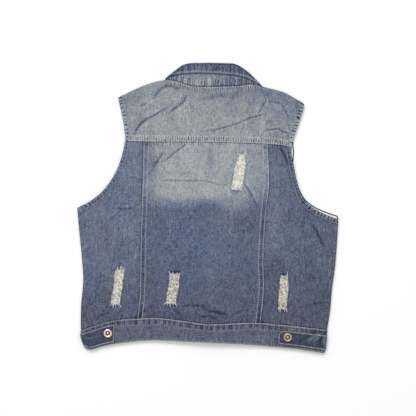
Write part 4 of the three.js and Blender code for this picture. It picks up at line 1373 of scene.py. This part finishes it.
# %% Topstitching on the back
def offset_line(stretches, distance, count=60):
    """The line of an armhole moved inwards."""
    chain = bezier_points(stretches, count)
    ahead = np.gradient(chain, axis=0)
    inwards = np.stack([ahead[:, 1], -ahead[:, 0]], 1) / np.hypot(*ahead.T)[:, None]
    inwards *= np.sign(-chain[:, :1] * inwards[:, :1] + 1e-9)
    return (chain + inwards * distance)[2:-2].T


PROUD = 0.1  # stitches lie this far above the cloth
x = np.linspace(-166, 163, 300)
bright = [stitch_ends(x, yoke_seam(x) + d, back_top, BAND_RISE + PROUD) for d in (1.6, 11.2)]
dull = []
for seam, sign in ((left_princess, 1), (right_princess, -1)):
    y = np.linspace(-228, 129, 320)
    bright.append(stitch_ends(seam(y) + sign * 1.4, y, back_top, BAND_RISE + PROUD))
    bright.append(stitch_ends(seam(y) + sign * 10.0, y, back_top, BAND_RISE + PROUD))
for armhole in (LEFT_ARMHOLE, RIGHT_ARMHOLE_BACK):
    dull.append(stitch_ends(*offset_line(armhole, 8.4), back_top, BAND_RISE + PROUD))
x = np.linspace(-243, 240, 400)
rows = stitch_ends(x, waist_seam(x) - 1.6, back_top, WAISTBAND_LIFT + PROUD)
under_tab = rows[:, 0, 0] < -168
bright.append(rows[~under_tab])
dull.append(rows[under_tab])
dull.append(stitch_ends(x, waist_seam(x) - 14.0, back_top, WAISTBAND_LIFT + PROUD))
dull.append(stitch_ends(x, hem(x) + 2.4, back_top, WAISTBAND_LIFT + PROUD))
x = np.linspace(-90, 102, 160)
bright.append(stitch_ends(x, yoke_top(x) - 2.2, back_top, PROUD, 3.8))
sew("topstitching_back", bright, THREAD)
sew("topstitching_back_dull", dull, DULL_THREAD)

# %% Topstitching on the tabs
rows = []
for name, (reach, top, bottom, corner, sign) in TABS.items():
    inner = reach + sign * 1.8
    fold = left_side(-255) if sign < 0 else right_side(-255)
    x = np.linspace(inner, fold - sign * 3, 120)
    turn = max(0.2, corner - 1.8)
    away = np.maximum(0, turn - np.abs(x - inner))
    upper = waist_seam(x) - top - 1.8 - turn + np.sqrt(np.maximum(0, turn**2 - away**2))
    lower = hem(x) + bottom + 1.8
    path_x = np.concatenate([x[::-1], np.full(20, inner), x])
    path_y = np.concatenate([upper[::-1], np.linspace(upper[0], lower[0], 20), lower])
    rows.append(stitch_ends(path_x, path_y, back_top, TAB_LIFT + PROUD, 3.0))
sew("topstitching_tabs", rows, THREAD)

# %% [markdown]
# ## Rips
# Where the warp is worn away the undyed weft stays, a ladder of cream threads across the hole.
# Above and below, the cut warp ends stand out as a short fringe. Each strand wanders a little,
# sags into the hole and is uneven in height, so the patch looks tangled and not combed.

# %% Weft left across the rips
STATIONS = 13  # rings of points along a strand


def make_strand(shape):
    bmesh.ops.create_cone(shape, cap_ends=True, segments=6, radius1=1, radius2=1, depth=2)
    long_edges = [e for e in shape.edges if abs(e.verts[0].co.z - e.verts[1].co.z) > 1]
    bmesh.ops.subdivide_edges(shape, edges=long_edges, cuts=STATIONS - 2)


STRAND, STRAND_POINTS = small_shape(make_strand)


def spin_strands(paths, radius, taper=0.0):
    """Points of a strand along each path (strands, stations, 3)."""
    station = np.rint((STRAND_POINTS[:, 2] + 1) / 2 * (STATIONS - 1)).astype(int)
    ahead = paths[:, np.minimum(station + 1, STATIONS - 1)] - paths[:, np.maximum(station - 1, 0)]
    side = np.cross(ahead, (0, 0, 1.0))
    side /= np.linalg.norm(side, axis=2, keepdims=True)
    up = np.cross(side, ahead)
    up /= np.linalg.norm(up, axis=2, keepdims=True)
    thick = np.asarray(radius).reshape(-1, 1, 1) * (1 - taper * (station / (STATIONS - 1))[None, :, None])
    return paths[:, station] + thick * (STRAND_POINTS[None, :, :1] * side + STRAND_POINTS[None, :, 1:2] * up)


CREAM = [(0.34, (0.33, 0.295, 0.24)), (0.5, (0.60, 0.575, 0.50)), (0.66, (0.78, 0.77, 0.73))]
WARP_ENDS = [(0.38, (0.32, 0.35, 0.44)), (0.56, (0.64, 0.66, 0.72))]
matt = {"Roughness": 0.9, "Specular_IOR_Level": 0.15}
WEFT = yarn_finish("bare_weft", CREAM, 300, (1, 0.7, 1), 2.0, 0.6, worn=True, Sheen_Weight=0.1, **matt)
FRINGE = yarn_finish("cut_warp_ends", WARP_ENDS, 260, **matt)
chance = np.random.default_rng(7)

# %% Paths of the strands
def weft_strands(rip):
    """The ladder of strands across a rip."""
    count = int((rip[4] - rip[1]) / 0.5)
    t = ((np.arange(count) + chance.uniform(-0.4, 0.4, count)) / count)[:, None]
    s = np.linspace(-1, 1, STATIONS)[None, :]
    y = mix(rip[1], rip[4], t)
    middle, half = across_rip(rip, y)
    x = middle + s * (half + 1.4)
    y = y + 0.6 * wobble(x + 91 * t, 3.0, 41) + chance.uniform(-0.6, 0.6, (count, 1)) * s
    lumps = 0.5 * ripple(x, y, 4.0, 45) + 0.3 * wobble(x * 1.3 + 57 * t, 3.4, 42)
    z = plain_top(x, y) - 0.5 + lumps * (1 - s**2) + 0.2 * (1 - s**4) * chance.uniform(-1, 1, (count, 1))
    return spin_strands(np.stack([x, y, z], 2), chance.uniform(0.32, 0.50, count))


def tuft(rip, upper, share, reach, lean, count):
    """Cut warp ends past one end of a rip, share of its width from the middle."""
    x0, y0, w0, x1, y1, w1, _ = rip
    middle, end, width, way = (x1, y1, w1, 1) if upper else (x0, y0, w0, -1)
    start = middle + width * share + chance.uniform(-1.1, 1.1, (count, 1))
    s = np.linspace(0, 1, STATIONS)[None, :]
    gathered = 0.5 * (start - middle - width * share) * s
    x = start + (lean + chance.uniform(-0.7, 0.7, (count, 1))) * s**1.4 - gathered
    y = end + way * ((reach + 1.2) * chance.uniform(0.7, 1.1, (count, 1)) * s - 3.4)
    z = back_top(x.ravel(), y.ravel()).reshape(x.shape) + mix(-0.2, 0.6, smooth(s * 2.5))
    return spin_strands(np.stack([x, y, z], 2), chance.uniform(0.28, 0.42, count), 0.5)


def side_frays(rip, count=9):
    """Short warp ends that stand out at the long sides of a rip."""
    t = chance.uniform(0.02, 0.98, (count, 1)) ** 0.8
    side = chance.choice([-1, 1], (count, 1))
    s = np.linspace(0, 1, STATIONS)[None, :]
    reach = chance.uniform(0.6, 3.0, (count, 1)) * t
    y = mix(rip[1], rip[4], t)
    middle, half = across_rip(rip, y)
    x = middle + side * (half - 1 + (1 + reach) * s)
    y = y + chance.uniform(-1.5, 3.5, (count, 1)) * s**1.5
    z = back_top(x.ravel(), y.ravel()).reshape(x.shape) + 0.2
    return spin_strands(np.stack([x, y, z], 2), chance.uniform(0.26, 0.36, count), 0.5)


def edge_strands(rip, count=6):
    """Worn warp along each long side of a rip."""
    s = np.linspace(0, 1, STATIONS)[None, :]
    strands = []
    for side in (-1, 1):
        for inwards in (0.2, 0.9):
            t = np.clip(s * 0.3 + np.linspace(0, 0.7, count)[:, None], 0, 1)
            y = mix(rip[1], rip[4], t)
            middle, half = across_rip(rip, y)
            x = middle + side * (half - inwards) + 0.6 * wobble(y, 5.0, 43 + side + inwards)
            z = back_top(x.ravel(), y.ravel()).reshape(x.shape) + 0.1
            strands.append(spin_strands(np.stack([x, y, z], 2), np.full(count, 0.45)))
    return np.concatenate(strands)

# %% Strands of each rip
WORN = {"rip_weft_1": 0.07, "rip_weft_2": -0.01, "rip_weft_3": -0.05, "rip_weft_4": -0.03}
TUFTS = {  # above, below: share of the width, reach, lean, ends
    "rip_weft_1": (
        [(-0.45, 5, -6, 5), (-0.15, 4, -1, 4), (0.2, 5, 1, 4), (0.45, 8, 3, 8)],
        [(-0.45, 5, -1, 7), (-0.15, 4, 0, 5), (0.2, 5, 2, 6), (0.42, 5, 1, 6)],
    ),
    "rip_weft_2": (
        [(-0.3, 8, -1, 11), (0.0, 8.5, 1, 12), (0.25, 8, -1, 11), (0.45, 8, 0, 10)],
        [(-0.48, 6, -2, 6), (-0.25, 9, 0, 7), (0.0, 10, 2, 7), (0.25, 9.5, 4, 7), (0.45, 7, 4, 5)],
    ),
    "rip_weft_3": (
        [(-0.5, 7, -3, 7), (-0.3, 6, 1, 5), (0.05, 4, 3, 7), (0.4, 4, 1, 8)],
        [(-0.5, 5, -4, 6), (-0.3, 6, -2, 6), (-0.05, 8, -1, 7), (0.2, 5, 1, 5), (0.45, 6, 3, 6)],
    ),
    "rip_weft_4": (
        [(-0.4, 4, -2, 7), (0.05, 5, 2, 4), (0.3, 7, 2, 5), (0.45, 10, 0, 8)],
        [(-0.45, 8, 1, 14), (-0.25, 8, 0, 10), (0.15, 8, 3, 6), (0.4, 7.5, 3, 6)],
    ),
}
for name, rip in RIPS.items():
    ladder = weft_strands(rip)
    tufts = [tuft(rip, upper, *row) for upper, rows in zip((True, False), TUFTS[name]) for row in rows]
    ends = np.concatenate([*tufts, side_frays(rip)])
    ladder = np.concatenate([ladder, edge_strands(rip)])
    piece = copies(name + "_strands", STRAND, ladder, WEFT, [name])
    give_attribute(piece, "worn", np.full(len(piece.data.vertices), WORN[name]))
    copies(name + "_fringe", STRAND, ends, FRINGE, ())
    print(name, len(ladder), "strands and", len(ends), "cut ends")

# %% [markdown]
# ## The picture
# The vest is seen from straight above on a white table, in soft light that comes mostly from the
# top of the picture. One broad lamp and a bright room give that light, and a long lens far above
# keeps the sides of the cloth out of sight.

# %% Camera, floor and light
floor_mesh = bpy.data.meshes.new("table_top")
plane = bmesh.new()
bmesh.ops.create_grid(plane, x_segments=1, y_segments=1, size=6)
bmesh.ops.translate(plane, verts=plane.verts, vec=(0, 0, -0.0003))
plane.to_mesh(floor_mesh)
plane.free()
floor = add_object("table_top", floor_mesh)
floor_finish = Finish("white_table", Roughness=0.9, Specular_IOR_Level=0.1, Base_Color=(0.93, 0.93, 0.93, 1))
floor_mesh.materials.append(floor_finish.material)
floor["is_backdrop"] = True

camera = add_object("camera", bpy.data.cameras.new("camera"))
bpy.context.scene.camera = camera
HEIGHT = 3.6
CLOTH_LEVEL = 0.008
SHOWN_WIDTH = 0.832  # metres across the picture, at the level of the cloth
SENSOR = 36
camera.data.sensor_width = SENSOR
camera.data.lens = SENSOR * (HEIGHT - CLOTH_LEVEL) / SHOWN_WIDTH
camera.location = (DRAFT_ORIGIN[0] + 0.001, DRAFT_ORIGIN[1], HEIGHT)
camera.rotation_euler = (0, 0, math.radians(1.3))
print("lens:", round(camera.data.lens), "mm")

bpy.context.scene.view_settings.view_transform = "Standard"
world = bpy.data.worlds.new("studio")
bpy.context.scene.world = world
world.use_nodes = True
background = world.node_tree.nodes["Background"]
background.inputs["Color"].default_value = (1, 1, 1, 1)
background.inputs["Strength"].default_value = 0.8

light = bpy.data.lights.new("window", "AREA")
light.shape, light.size, light.energy = "SQUARE", 1.2, 46.5
window = add_object("window", light)
window.location = (-0.82, 2.0, 2.1)
window.rotation_euler = (-window.location).to_track_quat("-Z", "Y").to_euler()
window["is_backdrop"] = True

# %% Finish
low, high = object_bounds()
